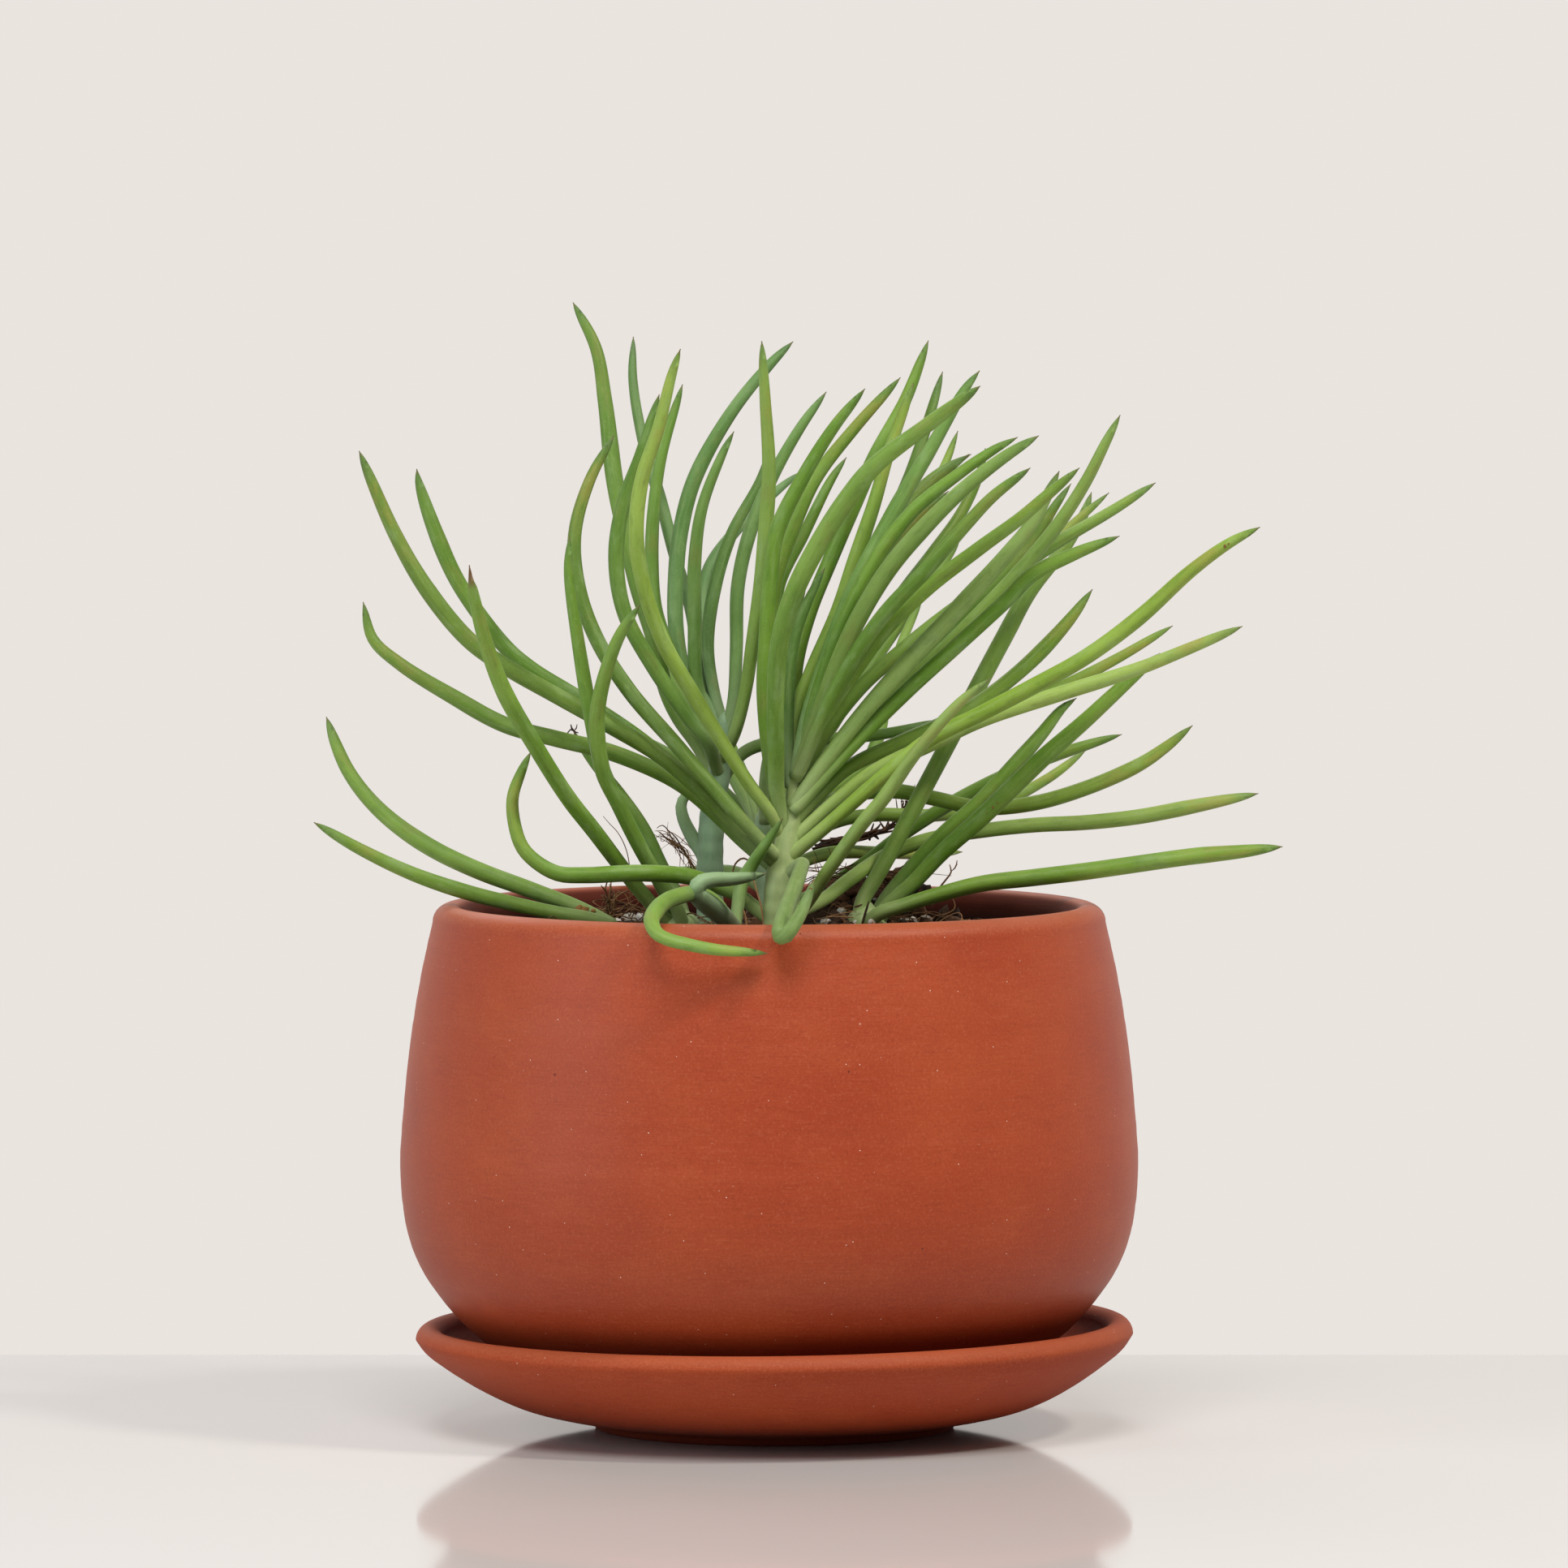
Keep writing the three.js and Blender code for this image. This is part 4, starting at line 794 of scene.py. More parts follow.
# %% [markdown]
# A real leaf isn't a perfect rod: it has weak keels along it, swells and thins a little, and its skin
# carries a chalky bloom, faint long lines and small scars. The keels and swellings are in the surface. The
# skin's pattern follows each leaf by a position of its own, round it and along it, where 1 is about half
# its width.

# %% Leaf surface
LEAF_SIDES = 16
LEAF_STEP = 1.2
LEAF_END = np.array([0, 0.25, 0.5, 0.7, 0.84, 0.93, 0.98, 1.0])
LEAF_ROOT_WIDTH, LEAF_GROWN = 0.85, 0.4
LEAF_TAPER_WIDTH, LEAF_TAPER_LIMIT = 0.64, 0.6
LEAF_POINT = 2.4
LEAF_FLATTENING = 0.88
LEAF_TIP = 0.1
LEAF_SWELL, LEAF_SWELL_RUN = 0.014, (5, 14)
LEAF_TWIST = 0.012
KEELS = [(3, 1, 0.03), (5, -2, 0.016)]
TONE_SPREAD = 0.03
DRY_REACH, DRY_SHRINK = 2.0, 0.45
BLOOM_LOSS = 0.6
HALF_WIDTH = 1.5
SKIN_START = 90
FULL_TURN = 6.3


def leaf_radii(length, width, taper, shares):
    """Half the width, times a share that rises smoothly from 0.85 at the root to 1 at 0.4 of the length,
    times one that falls from 1 to 0.64 over the taper, times 1 - exp(-left / 2.4), which rounds off the
    end. No taper is longer than 0.6 of its leaf."""
    left = (1 - shares) * length
    grown = np.clip(shares / LEAF_GROWN, 0, 1)
    grown = LEAF_ROOT_WIDTH + (1 - LEAF_ROOT_WIDTH) * grown**2 * (3 - 2 * grown)
    tapered = np.interp(left, [0, min(taper, LEAF_TAPER_LIMIT * length)], [LEAF_TAPER_WIDTH, 1])
    return np.maximum(LEAF_TIP, width / 2 * grown * tapered * (1 - np.exp(-left / LEAF_POINT)))


def skin_place(run, radii, sides, start):
    """A position for the skin's pattern at each corner of a tube: round it, as wide as it is, and along."""
    turn = angles(sides)
    wide = radii[:, None] / HALF_WIDTH
    skin = np.empty((len(run), sides, 3))
    skin[..., 0], skin[..., 1] = wide * np.cos(turn), wide * np.sin(turn)
    skin[..., 2] = start + run[:, None] / HALF_WIDTH
    tips = np.array([[0, 0, start + run[0] / HALF_WIDTH], [0, 0, start + run[-1] / HALF_WIDTH]])
    return np.vstack([skin.reshape(-1, 3), tips])


def add_leaf(surface, draw, leaf, dry=0.0, bloom=0.0, tanned=0.0):
    """Adds one leaf. Its last dry millimetres have withered and its first tanned ones are half brown. A
    bloom from 0 to 1 pales it, less towards the point. Three waves along it swell its width, and its keels
    are waves round it that twist slowly."""
    width, taper, tone, age, points = leaf
    line = evenly(placed(points), LEAF_STEP)
    line = np.vstack([line[:-2], at_shares(line[-3:], LEAF_END)])
    run = run_of(line)
    length = run[-1]
    shares = run / length
    waves = np.sin(run[:, None] / draw.uniform(*LEAF_SWELL_RUN, 3) + draw.uniform(0, FULL_TURN, 3))
    radii = leaf_radii(length, width, taper, shares) * (1 + LEAF_SWELL * waves.sum(axis=1))
    withered = np.clip((run - (length - dry)) / DRY_REACH, 0, 1) if dry else np.zeros(len(run))
    brown = withered + (0.5 * np.clip(2 - 2 * run / tanned, 0, 1) if tanned else 0)
    radii = np.maximum(LEAF_TIP, radii * (1 - DRY_SHRINK * withered))
    turn = angles(LEAF_SIDES)
    twist = run[:, None] * draw.uniform(-LEAF_TWIST, LEAF_TWIST) + draw.uniform(0, FULL_TURN)
    keels = 1 + sum(height * np.cos(lobes * turn + twists * twist) for lobes, twists, height in KEELS)
    corners, faces = tube(line, radii, LEAF_SIDES, LEAF_FLATTENING, keels)

    def each(values):
        return np.concatenate([np.repeat(values, LEAF_SIDES), values[[0, -1]]])

    surface.add(corners, faces, skin=skin_place(run, radii, LEAF_SIDES, draw.uniform(0, SKIN_START)),
                tone=np.clip(tone + draw.normal(0, TONE_SPREAD), 0, 1), age=age, along=each(run),
                left=each(length - run), dry=each(brown), bloom=each(bloom * (1 - BLOOM_LOSS * shares)))


# %% Stem surface
STEM_FOOT = 82.0
STEM_SIDES = 20
STEM_STEP = 0.7
STEM_RINGS = [(1.9, 0, 0.02), (0.8, 1, 0.012)]
STEM_END = [0.9, 0.7, 0.35]
STEM_ALONG, STEM_LEFT = -6.0, 60.0


def add_stem(surface, thickness, points, tone):
    """Adds a stem, straight down from its lowest point to its foot in the soil, with the rings that old
    leaves left on it, which are two waves along it. Its marks are those of a leaf's palest root."""
    line = placed(points)
    foot = np.array([[line[0, 0], line[0, 1], STEM_FOOT]])
    through = np.vstack([foot, line])
    wide = np.concatenate([[thickness[0]], thickness])
    marks = run_of(through)
    line = evenly(through, STEM_STEP)
    run = run_of(line)
    radii = np.interp(run / run[-1], marks / marks[-1], wide) / 2
    radii = radii * (1 + sum(height * np.sin(run * pace + start) for pace, start, height in STEM_RINGS))
    radii[-len(STEM_END):] *= STEM_END
    corners, faces = tube(line, radii, STEM_SIDES)
    surface.add(corners, faces, skin=skin_place(run, radii, STEM_SIDES, 0), tone=tone, age=0.0,
                along=STEM_ALONG, left=STEM_LEFT, dry=0.0, bloom=0.0)


# %% Leaf skin
GREENS = [(rgb(122, 156, 36), rgb(148, 180, 66)), (rgb(92, 136, 26), rgb(118, 158, 50)),
          (rgb(86, 132, 66), rgb(118, 158, 104))]


def leaf_finish():
    """Living leaf: its green goes from yellow over middle to blue with the tone, and deepens or pales with
    its tint and shading, which is partly its own green and partly painted light and shade. It pales to a
    chalky bloom at the root and on the stem, darkens at the point, and turns brown where it has dried."""
    f = Finish("leaf_skin")
    skin = f.mark("skin", "Vector")
    tone, along, left, age = [f.mark(name) for name in ("tone", "along", "left", "age")]
    cloud = f.noise(4.0, 2.0, (1, 1, 3), of=skin)
    patch = f.noise(2.2, 3.0, (1, 1, 2.4), of=skin, roughness=0.6)
    mottle = f.noise(0.9, 3.0, (1, 1, 2.6), of=skin, roughness=0.6)
    streak = f.noise(0.34, 2.0, (1, 1, 22), of=skin)
    fleck = f.noise(0.22, 1.0, of=skin)
    yellow, middle, blue = [f.blend(f.span(cloud, 0.3, 0.7), *pair) for pair in GREENS]
    colour = f.blend(f.span(tone, 0, 0.5), yellow, middle)
    colour = f.blend(f.span(tone, 0.5, 1), colour, blue)
    # Partly painted light and shade: above 0 the tint and shading deepens the green, below 0 it pales it.
    colour = f.blend(age * 0.6, colour, rgb(60, 94, 26))
    colour = f.blend(age * -0.32, colour, rgb(186, 206, 132))
    colour = f.layered(colour, [
        (patch, 0.54, 0.76, 0.35, (134, 136, 62)),
        (patch, 0.48, 0.26, 0.24, (160, 188, 136)),
        (mottle, 0.5, 0.8, 0.24, (152, 180, 110)),
        (mottle, 0.5, 0.25, 0.28, (62, 96, 26)),
        (streak, 0.5, 0.8, 0.22, (158, 184, 118)),
        (streak, 0.45, 0.2, 0.25, (48, 80, 26)),
    ])
    pale = f.blend(f.span(tone, 0.5, 1), rgb(176, 190, 138), rgb(152, 182, 150))
    colour = f.blend(f.span(along, 18.0, -6.0) * (0.45 + 0.5 * mottle), colour, pale)
    colour = f.blend(f.mark("bloom") * (0.6 + 0.6 * mottle), colour, pale)
    blush = f.span(left, 26.0, 9.0) * f.span(left, 2.0, 7.0) * f.span(patch, 0.42, 0.62)
    colour = f.blend(blush * f.span(tone, 0.6, 0.1) * 0.4, colour, rgb(172, 152, 74))
    colour = f.layered(colour, [
        (left, 7.0, 0.6, 0.5, (58, 90, 46)),
        (left, 1.4, 0.4, 0.6, (104, 84, 52)),
        (fleck, 0.64, 0.72, 0.12, (186, 202, 150)),
        (fleck, 0.34, 0.27, 0.14, (54, 76, 32)),
    ])
    colour = f.blend(f.mark("dry"), colour, rgb(112, 82, 50))
    normal = f.bump(mottle, 0.02, f.bump(streak, 0.02))
    return f.close(Base_Color=colour, Roughness=0.46 + 0.2 * mottle, Normal=normal,
                   Specular_IOR_Level=0.44, Sheen_Weight=0.05, Sheen_Roughness=0.5)


leaf_skin = leaf_finish()

# %% The shoots
MARKED_LEAVES = {
    ("shoot_front", 4): {"dry": 1.2},
    ("shoot_front", 34): {"dry": 1.6, "bloom": 0.35},
    ("shoot_back", 0): {"bloom": 0.5},
    ("shoot_left", 0): {"dry": 5.0},
    ("shoot_left", 3): {"dry": 2.5},
    ("shoot_low", 2): {"bloom": 0.9, "tanned": 10.0},
}
SLOTS = {"shoot_back": "leaves_blue", "shoot_rear": "leaves_blue"}
STEM_TONES = {"shoot_front": 0.35, "shoot_back": 1.0, "shoot_rear": 0.8}
OTHER_STEM_TONE = 0.6
FIRST_SEED = 100


def make_shoots():
    """Each shoot is one piece, its stem and its leaves, and has a random draw of its own."""
    for order, (name, leaves) in enumerate(LEAVES.items()):
        draw = np.random.default_rng(FIRST_SEED + order)
        surface = Surface()
        add_stem(surface, *STEMS[name], STEM_TONES.get(name, OTHER_STEM_TONE))
        for place, leaf in enumerate(leaves):
            add_leaf(surface, draw, leaf, **MARKED_LEAVES.get((name, place), {}))
        surface.piece("leaves_of_" + name, leaf_skin, SLOTS.get(name, "leaves_bright"), name)


make_shoots()

# %% [markdown]
# What lies on the soil makes it look real: white perlite, dark bark, crumbs, tan coir and a few dry roots.
# A lump is a ball of 80 faces whose corners are moved by chance, and a fibre is a thin tube.

# %% Lumps
def ball():
    """The corners and faces of a ball with 80 faces and radius 1."""
    form = bmesh.new()
    bmesh.ops.create_icosphere(form, subdivisions=2, radius=1)
    corners = np.array([corner.co[:] for corner in form.verts])
    faces = [[corner.index for corner in face.verts] for face in form.faces]
    form.free()
    return corners, faces


BALL, BALL_FACES = ball()
LUMP_WIDTH = 0.6, 1.0
DENT_COUNT, DENT_PACE, DENT_DEPTH = 5, 3.2, 2.2
LITTER_REACH = 53.0


def add_lumps(surface, draw, places, sizes, flat, rough):
    """Adds a lump at each place: the ball, stretched along three axes, turned, and dented by waves."""
    for place, size in zip(places, sizes):
        stretch = np.array([1.0, draw.uniform(*LUMP_WIDTH), draw.uniform(*flat)])
        turn = np.linalg.qr(draw.normal(size=(3, 3)))[0]
        turn *= np.sign(np.linalg.det(turn))
        waves = BALL @ draw.normal(0, DENT_PACE, (3, DENT_COUNT)) + draw.uniform(0, FULL_TURN, DENT_COUNT)
        corners = BALL * stretch * (1 + rough * np.sin(waves).sum(axis=1)[:, None] / DENT_DEPTH)
        surface.add(place + size * corners @ turn.T, BALL_FACES, grain=draw.uniform(0, 1))


def on_soil(x, y, lift=0.0):
    """Places on top of the soil, or above it by the lift."""
    x, y = np.atleast_1d(x).astype(float), np.atleast_1d(y).astype(float)
    return np.stack([x, y, soil_height(x, y) + lift], axis=-1)


def scattered(draw, count, reach=LITTER_REACH, middle=(0.0, 0.0)):
    """Random places on the soil, all within the reach of a middle."""
    x, y = in_a_disc(draw, count, reach)
    return on_soil(middle[0] + x, middle[1] + y)


def grain_sizes(draw, count, least, more, power):
    """Random sizes, most of them small: the least, plus more times a draw from 0 to 1 to the power."""
    return least + more * draw.uniform(0, 1, count) ** power


def grain_finish(name, dark, light, roughness, crumb_size, depth):
    """A dull grainy stuff between two colours, each lump a little different."""
    f = Finish(name)
    crumb = f.noise(crumb_size, 4.0, roughness=0.7)
    share = f.span(0.55 * f.mark("grain") + 0.9 * crumb, 0.35, 1.0)
    return f.close(Base_Color=f.blend(share, dark, light), Roughness=roughness,
                   Normal=f.bump(crumb, depth), Specular_IOR_Level=0.3)


perlite_finish = grain_finish("perlite", rgb(168, 158, 144), rgb(236, 232, 224), 0.9, 0.5, 0.25)
bark_finish = grain_finish("bark", rgb(30, 18, 12), rgb(112, 76, 52), 0.8, 1.2, 0.4)

# %% Perlite, bark and crumbs
PERLITE_SEEN = [(-27.0, 38, 1.9), (-29.4, 37, 1.3), (-24.6, 36, 1.6), (-22.0, 40, 1.1), (13.6, 3, 1.3),
                (30.0, 9, 1.8), (27.2, 12, 1.1), (19.4, -6, 0.9), (21.0, -8, 0.7), (16.2, -7, 0.6)]
BARK_SEEN = [(24.6, 21, 103.4, 3.2), (26.6, 20, 101.4, 2.8), (29.4, 18, 100.4, 2.2), (21.6, 22, 103.0, 2.6),
             (12.6, 16, 101.6, 2.4), (16.4, 14, 101.6, 2.2), (9.6, 18, 99.8, 2.2), (27.8, 13, 98.2, 2.4),
             (33.0, 14, 96.4, 2.0), (36.0, 20, 95.6, 1.8)]
LUMP_SEED = 21
PERLITE_COUNT, PERLITE_LIFT = 150, 0.45
CRUMB_COUNT, HEAP_CRUMBS, HEAP_REACH = 620, 120, 12.0


def make_grains():
    """The lumps that the photograph shows, each with its own size, and then the random ones."""
    draw = np.random.default_rng(LUMP_SEED)
    white = Surface()
    for x, y, size in PERLITE_SEEN:
        add_lumps(white, draw, on_soil(x, y, size * PERLITE_LIFT), [size], flat=(0.7, 1.0), rough=0.16)
    places = scattered(draw, PERLITE_COUNT)
    sizes = grain_sizes(draw, len(places), least=0.3, more=1.3, power=1.6)
    add_lumps(white, draw, places, sizes, flat=(0.6, 1.0), rough=0.24)
    white.piece("perlite_grains", perlite_finish, "soil")
    dark = Surface()
    for x, y, z, size in BARK_SEEN:
        add_lumps(dark, draw, np.array([[x, y, z]]), [size], flat=(0.3, 0.7), rough=0.3)
    places = np.vstack([scattered(draw, CRUMB_COUNT), scattered(draw, HEAP_CRUMBS, HEAP_REACH, HEAP_MIDDLE)])
    sizes = grain_sizes(draw, len(places), least=0.35, more=1.8, power=2)
    add_lumps(dark, draw, places, sizes, flat=(0.25, 0.7), rough=0.34)
    dark.piece("bark_crumbs", bark_finish, "soil")


make_grains()

# %% [markdown]
# Coir is coconut fibre: stiff tan threads that curl over the soil. Dead roots and a strip of bark hang among
# the stems. Those that show in the photograph are placed, singly or as a bundle round a line, and the rest
# lie at random.

# %% Fibres
STRAND_SIDES, STRAND_STEP = 5, 0.7
STRAND_END, STRAND_CUT = 0.35, 0.02
BUNDLE_STEPS, BUNDLE_PARTS, THREAD_STEPS = 60, 10, 6
DRIFT_PACE = 3, 9
SPLAY = 2.2
ARCH_START, ARCH_REACH = 50.0, 54.0
ARCH_STEPS, ARCH_LENGTH, ARCH_RISE, ARCH_LIFT = 7, (6, 20), (0.3, 3.5), 0.1
WANDER, WANDER_TURNS = 0.22, (4, 9)


def add_strand(surface, line, thickness, shade):
    """Adds a thread along a line, thinner at both ends."""
    line = evenly(line, STRAND_STEP)
    shares = np.clip(np.linspace(0, 1, len(line)), STRAND_CUT, 1 - STRAND_CUT)
    radii = thickness / 2 * (STRAND_END + (1 - STRAND_END) * np.sin(math.pi * shares) ** 0.5)
    surface.add(*tube(line, radii, STRAND_SIDES), grain=shade)


def add_bundle(surface, draw, count, spread, thickness, shades, points):
    """Adds threads round a line. Each starts and ends at a random tenth of it and keeps its own offset,
    which drifts with a slow wave and splays a little at its ends."""
    middle = at_shares(flowing(placed(points)), np.linspace(0, 1, BUNDLE_STEPS))
    for _ in range(count):
        first, last = np.sort(draw.choice(BUNDLE_PARTS + 1, 2, replace=False)) / BUNDLE_PARTS
        t = np.linspace(first, last, THREAD_STEPS)
        offset = draw.normal(0, spread, 3)
        drift = spread * np.sin(t[:, None] * draw.uniform(*DRIFT_PACE, 3) + draw.uniform(0, FULL_TURN, 3))
        splay = draw.normal(0, spread, 3) * ((2 * (t - first) / (last - first) - 1) ** 4)[:, None]
        line = at_shares(middle, t) + (offset + drift) + SPLAY * splay
        add_strand(surface, line, draw.uniform(*thickness), draw.uniform(*shades))


def random_strand(draw):
    """A thread from a random place on the soil: an arch that wanders to the side as it goes. It rises by
    rise * 4 * t * (1 - t), and what would reach past the pot's inside is drawn in towards the axis."""
    start = scattered(draw, 1, ARCH_START)[0]
    way = draw.uniform(0, 2 * math.pi)
    length, rise = draw.uniform(*ARCH_LENGTH), draw.uniform(*ARCH_RISE)
    t = np.linspace(0, 1, ARCH_STEPS)
    wander = draw.normal(0, WANDER, 2)
    turn = way + wander[0] * WANDER_TURNS[0] * t + wander[1] * WANDER_TURNS[1] * t**2
    x = start[0] + length * t * np.cos(turn)
    y = start[1] + length * t * np.sin(turn)
    inward = np.minimum(1, ARCH_REACH / np.maximum(np.hypot(x, y), 1))
    x, y = x * inward, y * inward
    z = soil_height(x, y) + ARCH_LIFT + rise * 4 * t * (1 - t)
    return np.stack([x, y, z], axis=-1)


# %% The single threads
# Each row holds a thread's thickness, its shade from dark to light, and its line.
STRANDS = [
    (0.2, 0.55, [(-31.5, 116.4, 14), (-30.3, 115), (-28.8, 113.4), (-27.4, 110.8), (-26.6, 107.7),
                 (-26.4, 101), (-26.2, 96.5, 16)]),
    (0.42, 0.3, [(-20.8, 113.4, 21), (-18.6, 111.4), (-16.6, 110.4), (-15.5, 108.6), (-14.2, 106.4),
                 (-13.4, 101, 22)]),
    (0.34, 0.2, [(-19.1, 113.7, 22), (-17.6, 112.2), (-16.4, 110), (-15, 107.4), (-14, 102, 23)]),
    (0.26, 0.25, [(-21.3, 114.1, 19), (-20.4, 114.7), (-19.4, 114), (-18.4, 112), (-16.8, 109.6, 22)]),
    (0.4, 0.8, [(-7.2, 104.6, -6), (-6.4, 107.4), (-5, 108.4), (-3.6, 107.6), (-3, 105.6, -8)]),
    (0.34, 0.75, [(-3.2, 105.2, -17.5), (-2.4, 102.2), (-1.6, 99.5), (-1, 95, -18)]),
    (0.5, 0.7, [(-4.9, 98.6, -26), (-4.5, 97), (-4.2, 94.4, -26)]),
    (0.26, 0.05, [(24, 119.8, 43), (24.3, 117.6), (24.8, 115, 43)]),
    (0.24, 0.05, [(25.4, 122.5, 43), (25.1, 119.5), (25.2, 116), (24.6, 113.6, 44)]),
    (0.24, 0.1, [(27.6, 122.4, 43), (27.3, 120.6), (27.4, 118.8, 42)]),
    (0.4, 0.65, [(34.2, 107.2, 16), (34.5, 105.8), (33.4, 104.2), (32.2, 102.6), (30.8, 99, 16)]),
    (0.3, 0.6, [(34.6, 106, 16), (35.4, 106.8), (35.6, 108, 16)]),
    (0.3, 0.5, [(29.6, 98.4, 8), (31.4, 97.6), (33.8, 97.9), (35.2, 99), (34.8, 100.6), (33.6, 101.2, 10)]),
    (0.5, 0.0, [(18.9, 100.2, -5.5), (18.3, 98.2), (17.5, 95.6, -5.5)]),
    (0.5, 0.0, [(16.1, 99.1, -5), (16.8, 99.3), (17.6, 99.6, -5)]),
    (0.3, 0.1, [(-38.4, 131.6, 9), (-37.8, 132.8), (-36.8, 132.6), (-36.4, 133.8, 9)]),
    (0.4, 0.1, [(-37.6, 133.8, 9), (-37.2, 132.6), (-36.2, 132.2, 9)]),
]

# %% The bundles
# Each row holds a bundle's count, its spread, the ranges of its thickness and shade, and its line.
COIR_BUNDLES = [
    (22, 0.6, (0.1, 0.2), (0.4, 1.0),
     [(-21.4, 114, 20), (-19, 112), (-16.8, 110.2), (-15.2, 108), (-14, 105, 22)]),
    (14, 0.35, (0.2, 0.42), (0.2, 0.7), [(-30.4, 103.2, 6), (-30.2, 100), (-30.6, 96.4, 8)]),
    (8, 0.35, (0.2, 0.4), (0.3, 0.8), [(-28.4, 103, 10), (-29.6, 100.4), (-31.2, 96.6, 12)]),
    (20, 0.9, (0.14, 0.3), (0.2, 1.0), [(-34, 97.6, 20), (-30, 98.6), (-26, 99.2), (-22.4, 98.2, 30)]),
    (34, 1.1, (0.12, 0.32), (0.0, 0.6),
     [(7, 103.8, 16), (12, 105), (18, 105.2), (24, 104.4), (30, 101.4, 18)]),
    (22, 0.8, (0.12, 0.26), (0.2, 1.0), [(8, 96.6, -6), (16, 97.2), (24, 97.2), (33, 97.4, 6)]),
]
BARK_BUNDLES = [
    (34, 0.34, (0.35, 0.8), (0.0, 0.5),
     [(8.6, 110.2, 41), (12.4, 111.5), (18.1, 112.5), (21.2, 113.6), (24.4, 115, 43)]),
    (9, 0.3, (0.3, 0.7), (0.1, 0.6), [(23.4, 114.6, 43), (25, 117, 43), (26.2, 119.8, 43)]),
]
RANDOM_STRANDS, RANDOM_THICKNESS, RANDOM_SHADES = 90, (0.14, 0.36), (0.1, 0.9)
FIBRE_SEED = 34


def make_fibres():
    """The single threads, then the bundles, then the random threads, and the strip of bark."""
    draw = np.random.default_rng(FIBRE_SEED)
    threads = Surface()
    for thickness, shade, points in STRANDS:
        add_strand(threads, placed(points), thickness, shade)
    for bundle in COIR_BUNDLES:
        add_bundle(threads, draw, *bundle)
    for _ in range(RANDOM_STRANDS):
        line = random_strand(draw)
        add_strand(threads, line, draw.uniform(*RANDOM_THICKNESS), draw.uniform(*RANDOM_SHADES))
    finish = grain_finish("coir", rgb(48, 32, 22), rgb(166, 124, 84), 0.75, 1.5, 0.05)
    threads.piece("coir_fibres", finish, "soil")
    bark = Surface()
    for bundle in BARK_BUNDLES:
        add_bundle(bark, draw, *bundle)
    bark.piece("bark_strip", bark_finish, "soil")


make_fibres()

# %% [markdown]
# The lowest leaf on the left has lost its root: its end is brown and ragged where it lies on the soil. Scabs
# are small brown lumps that sit half in the skin.

# %% Scars
SCAR_STEP, SCAR_DEPTH, SCAR_SEED = 0.4, 0.9, 55


def at_leaf(name, place, seen_across):
    """The place in a leaf's skin, facing the viewer, where its line crosses the given distance across."""
    width, taper, _, _, points = LEAVES[name][place]
    line = evenly(placed(points), SCAR_STEP)
    seen = EYE[0] + (line[:, 0] - EYE[0]) * EYE[1] / (EYE[1] - line[:, 1])
    nearest = int(np.argmin(np.abs(seen - seen_across)))
    run = run_of(line)
    radius = leaf_radii(run[-1], width, taper, run[nearest:nearest + 1] / run[-1])[0]
    return line[nearest] - np.array([0, radius * SCAR_DEPTH, 0])


SCARS = [("shoot_front", 31, 86.2, 0.34), ("shoot_front", 31, 87.0, 0.22), ("shoot_right", 2, 42.3, 0.26),
         ("shoot_right", 2, 43.2, 0.18), ("shoot_right", 2, 41.2, 0.14), ("shoot_front", 34, 7.9, 0.3)]
STUB = [(-36.2, 98.6, 2.2), (-35.2, 98.2), (-34.6, 97.4, 2.2), (-33.4, 98.2, 3.4)]
STUB_SIZES = [0.9, 1.0, 0.8, 0.7]
scab_finish = grain_finish("scab", rgb(78, 52, 28), rgb(152, 112, 60), 0.8, 0.6, 0.05)


def make_scars():
    draw = np.random.default_rng(SCAR_SEED)
    scabs = Surface()
    for name, place, across, size in SCARS:
        add_lumps(scabs, draw, [at_leaf(name, place, across)], [size], flat=(0.5, 0.8), rough=0.2)
    add_lumps(scabs, draw, placed(STUB), STUB_SIZES, flat=(0.5, 0.9), rough=0.35)
    scabs.piece("brown_scabs", scab_finish, "soil")


make_scars()

# %% [markdown]
# The floor is plain and pale, and a little glossy like a table top. It ends behind the plant, where the pale
# world begins, so the line between the two lies low behind the saucer.

# %% Floor
FLOOR_BACK = 135.0
FLOOR_REACH = 1500.0
FLOOR_GREY, FLOOR_ROUGHNESS, FLOOR_GLOSS = rgb(222, 222, 222), 0.07, 0.115


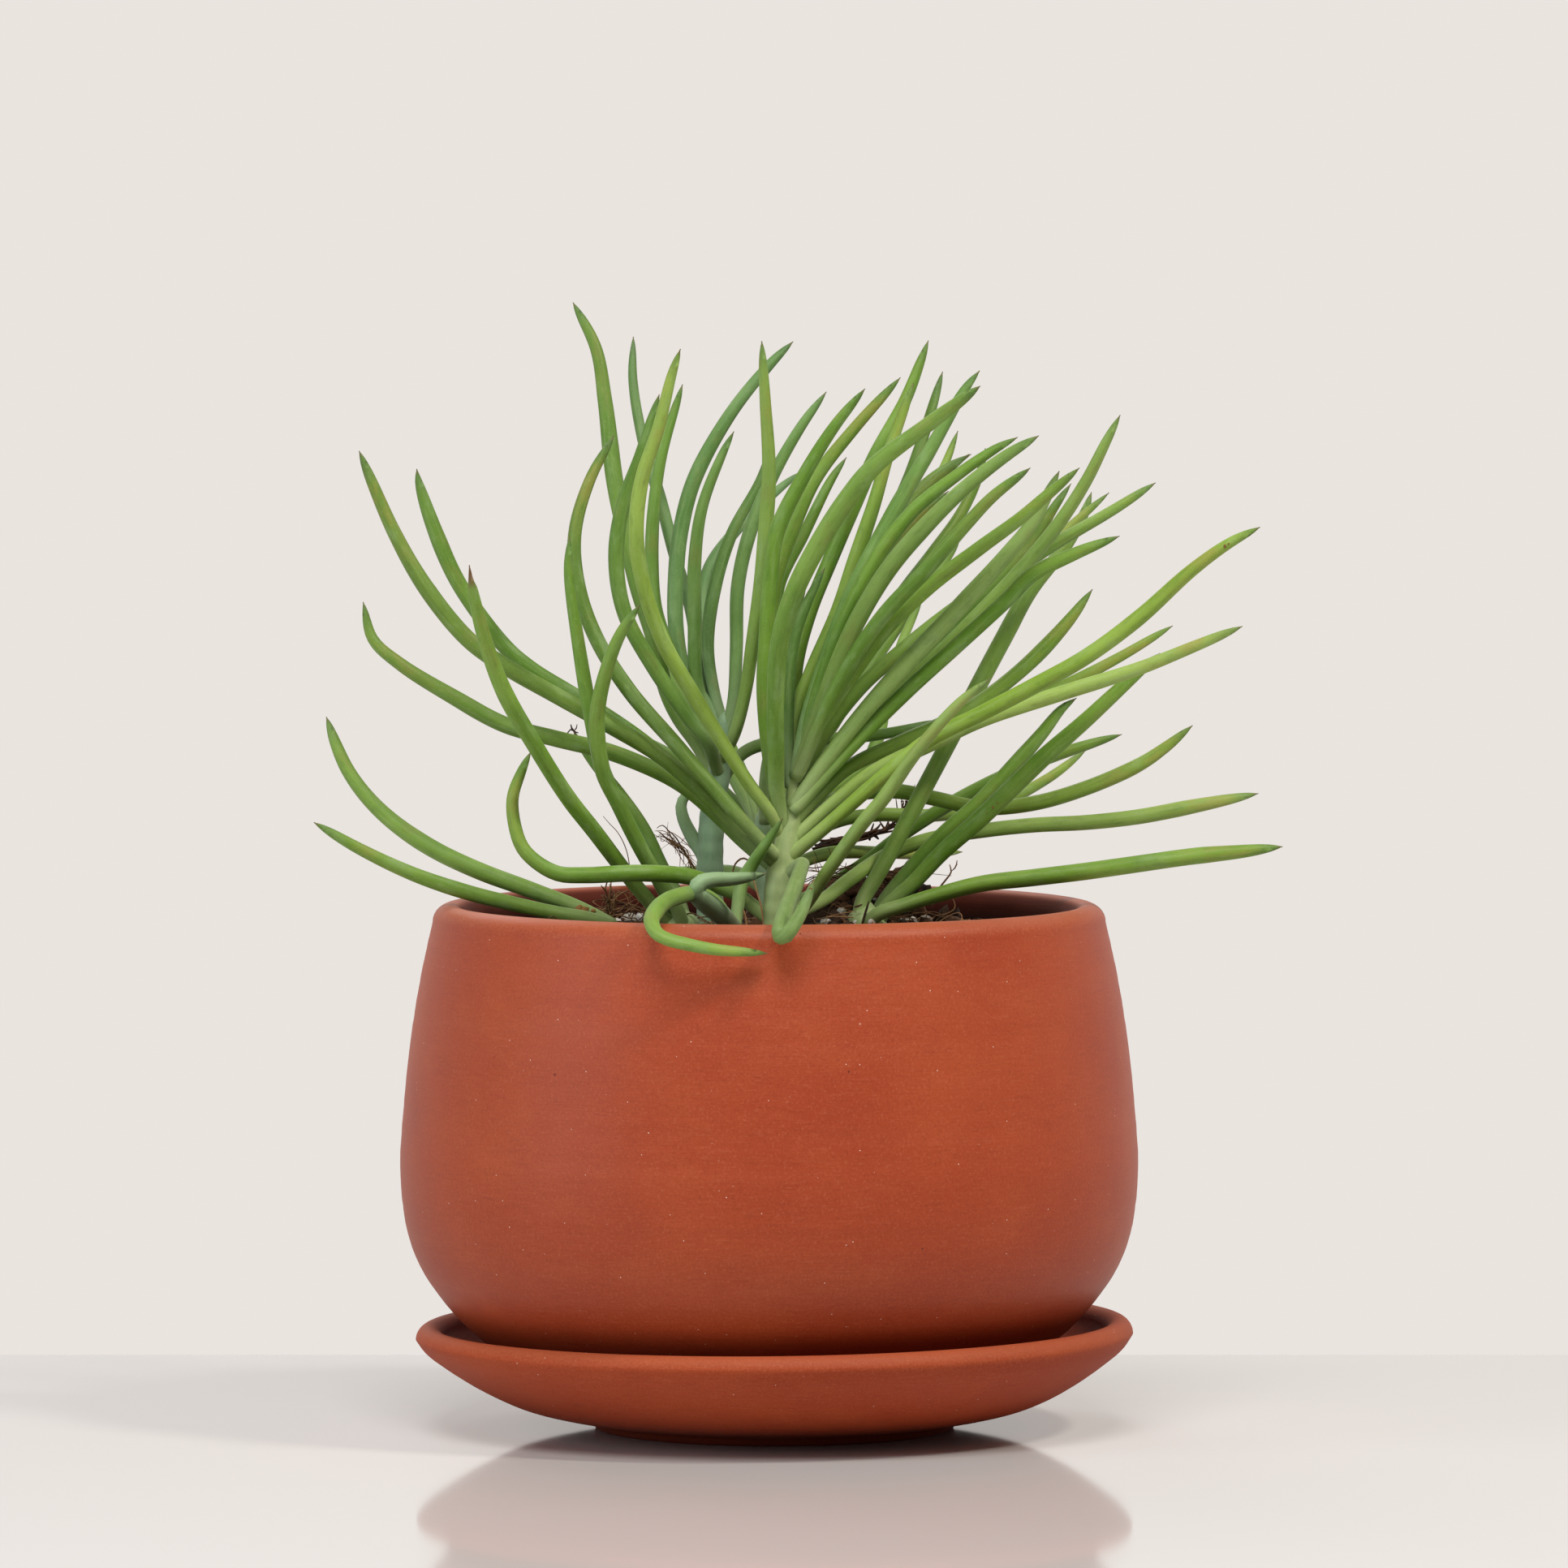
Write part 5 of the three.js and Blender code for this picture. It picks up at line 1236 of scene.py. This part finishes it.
def make_floor():
    f = Finish("table_top")
    finish = f.close(Base_Color=FLOOR_GREY, Roughness=FLOOR_ROUGHNESS, Specular_IOR_Level=FLOOR_GLOSS)
    left, right, front, back = -FLOOR_REACH, FLOOR_REACH, -FLOOR_REACH, FLOOR_BACK
    corners = np.array([(left, front, 0), (right, front, 0), (right, back, 0), (left, back, 0)]) * MM
    mesh = bpy.data.meshes.new("table_top")
    mesh.from_pydata(corners.tolist(), [], [(0, 1, 2, 3)])
    mesh.materials.append(finish)
    added("table_top", mesh)


make_floor()

# %% [markdown]
# The room is pale all round, but only about a quarter of its light falls on dull surfaces, so that shade can
# gather between the leaves. A small lamp above on the right throws the soft shadows that run down to the
# left, a tall window on the left gives the clay its broad cool sheen, a wide lamp above the camera lights
# the front, and a weak one behind lights the far side.

# %% Light
ROOM_COLOUR, DIFFUSE_SHARE = rgb(234, 228, 223), 0.22
LIT_MIDDLE = np.array([0, 0, 0.09])


def make_world():
    """A pale world, whose strength is 1 for the camera and for gloss, and less for dull surfaces."""
    world = bpy.data.worlds.new("room")
    world.use_nodes = True
    tree = world.node_tree
    background = tree.nodes["Background"]
    background.inputs["Color"].default_value = ROOM_COLOUR
    path = tree.nodes.new("ShaderNodeLightPath")
    strength = tree.nodes.new("ShaderNodeMapRange")
    strength.inputs["To Min"].default_value = 1.0
    strength.inputs["To Max"].default_value = DIFFUSE_SHARE
    tree.links.new(path.outputs["Is Diffuse Ray"], strength.inputs["Value"])
    tree.links.new(strength.outputs[0], background.inputs["Strength"])
    bpy.context.scene.world = world


def area_light(name, place, size, power, colour):
    """A soft light with a width and a height, that looks at the middle of the plant."""
    data = bpy.data.lights.new(name, "AREA")
    data.shape = "RECTANGLE"
    data.size, data.size_y = size
    data.energy = power
    data.color = colour
    lamp = added(name, data)
    lamp.location = place
    towards = LIT_MIDDLE - np.array(place)
    pitch = math.acos(-towards[2] / np.linalg.norm(towards))
    lamp.rotation_euler = (pitch, 0, math.atan2(towards[1], towards[0]) - math.pi / 2)


make_world()
area_light("key_light", (0.9, -0.54, 1.3), (0.2, 0.2), 10.6, (1.0, 0.92, 0.82))
area_light("window_light", (-1.3, -0.62, 0.35), (0.5, 1.2), 7.2, (0.84, 0.92, 1.0))
area_light("front_light", (-0.1, -1.3, 1.9), (1.0, 1.0), 31.0, (1.0, 0.96, 0.92))
area_light("back_light", (-0.5, 1.5, 1.5), (1.0, 1.0), 8.0, (1.0, 0.98, 0.96))
bpy.context.scene.view_settings.view_transform = "Standard"
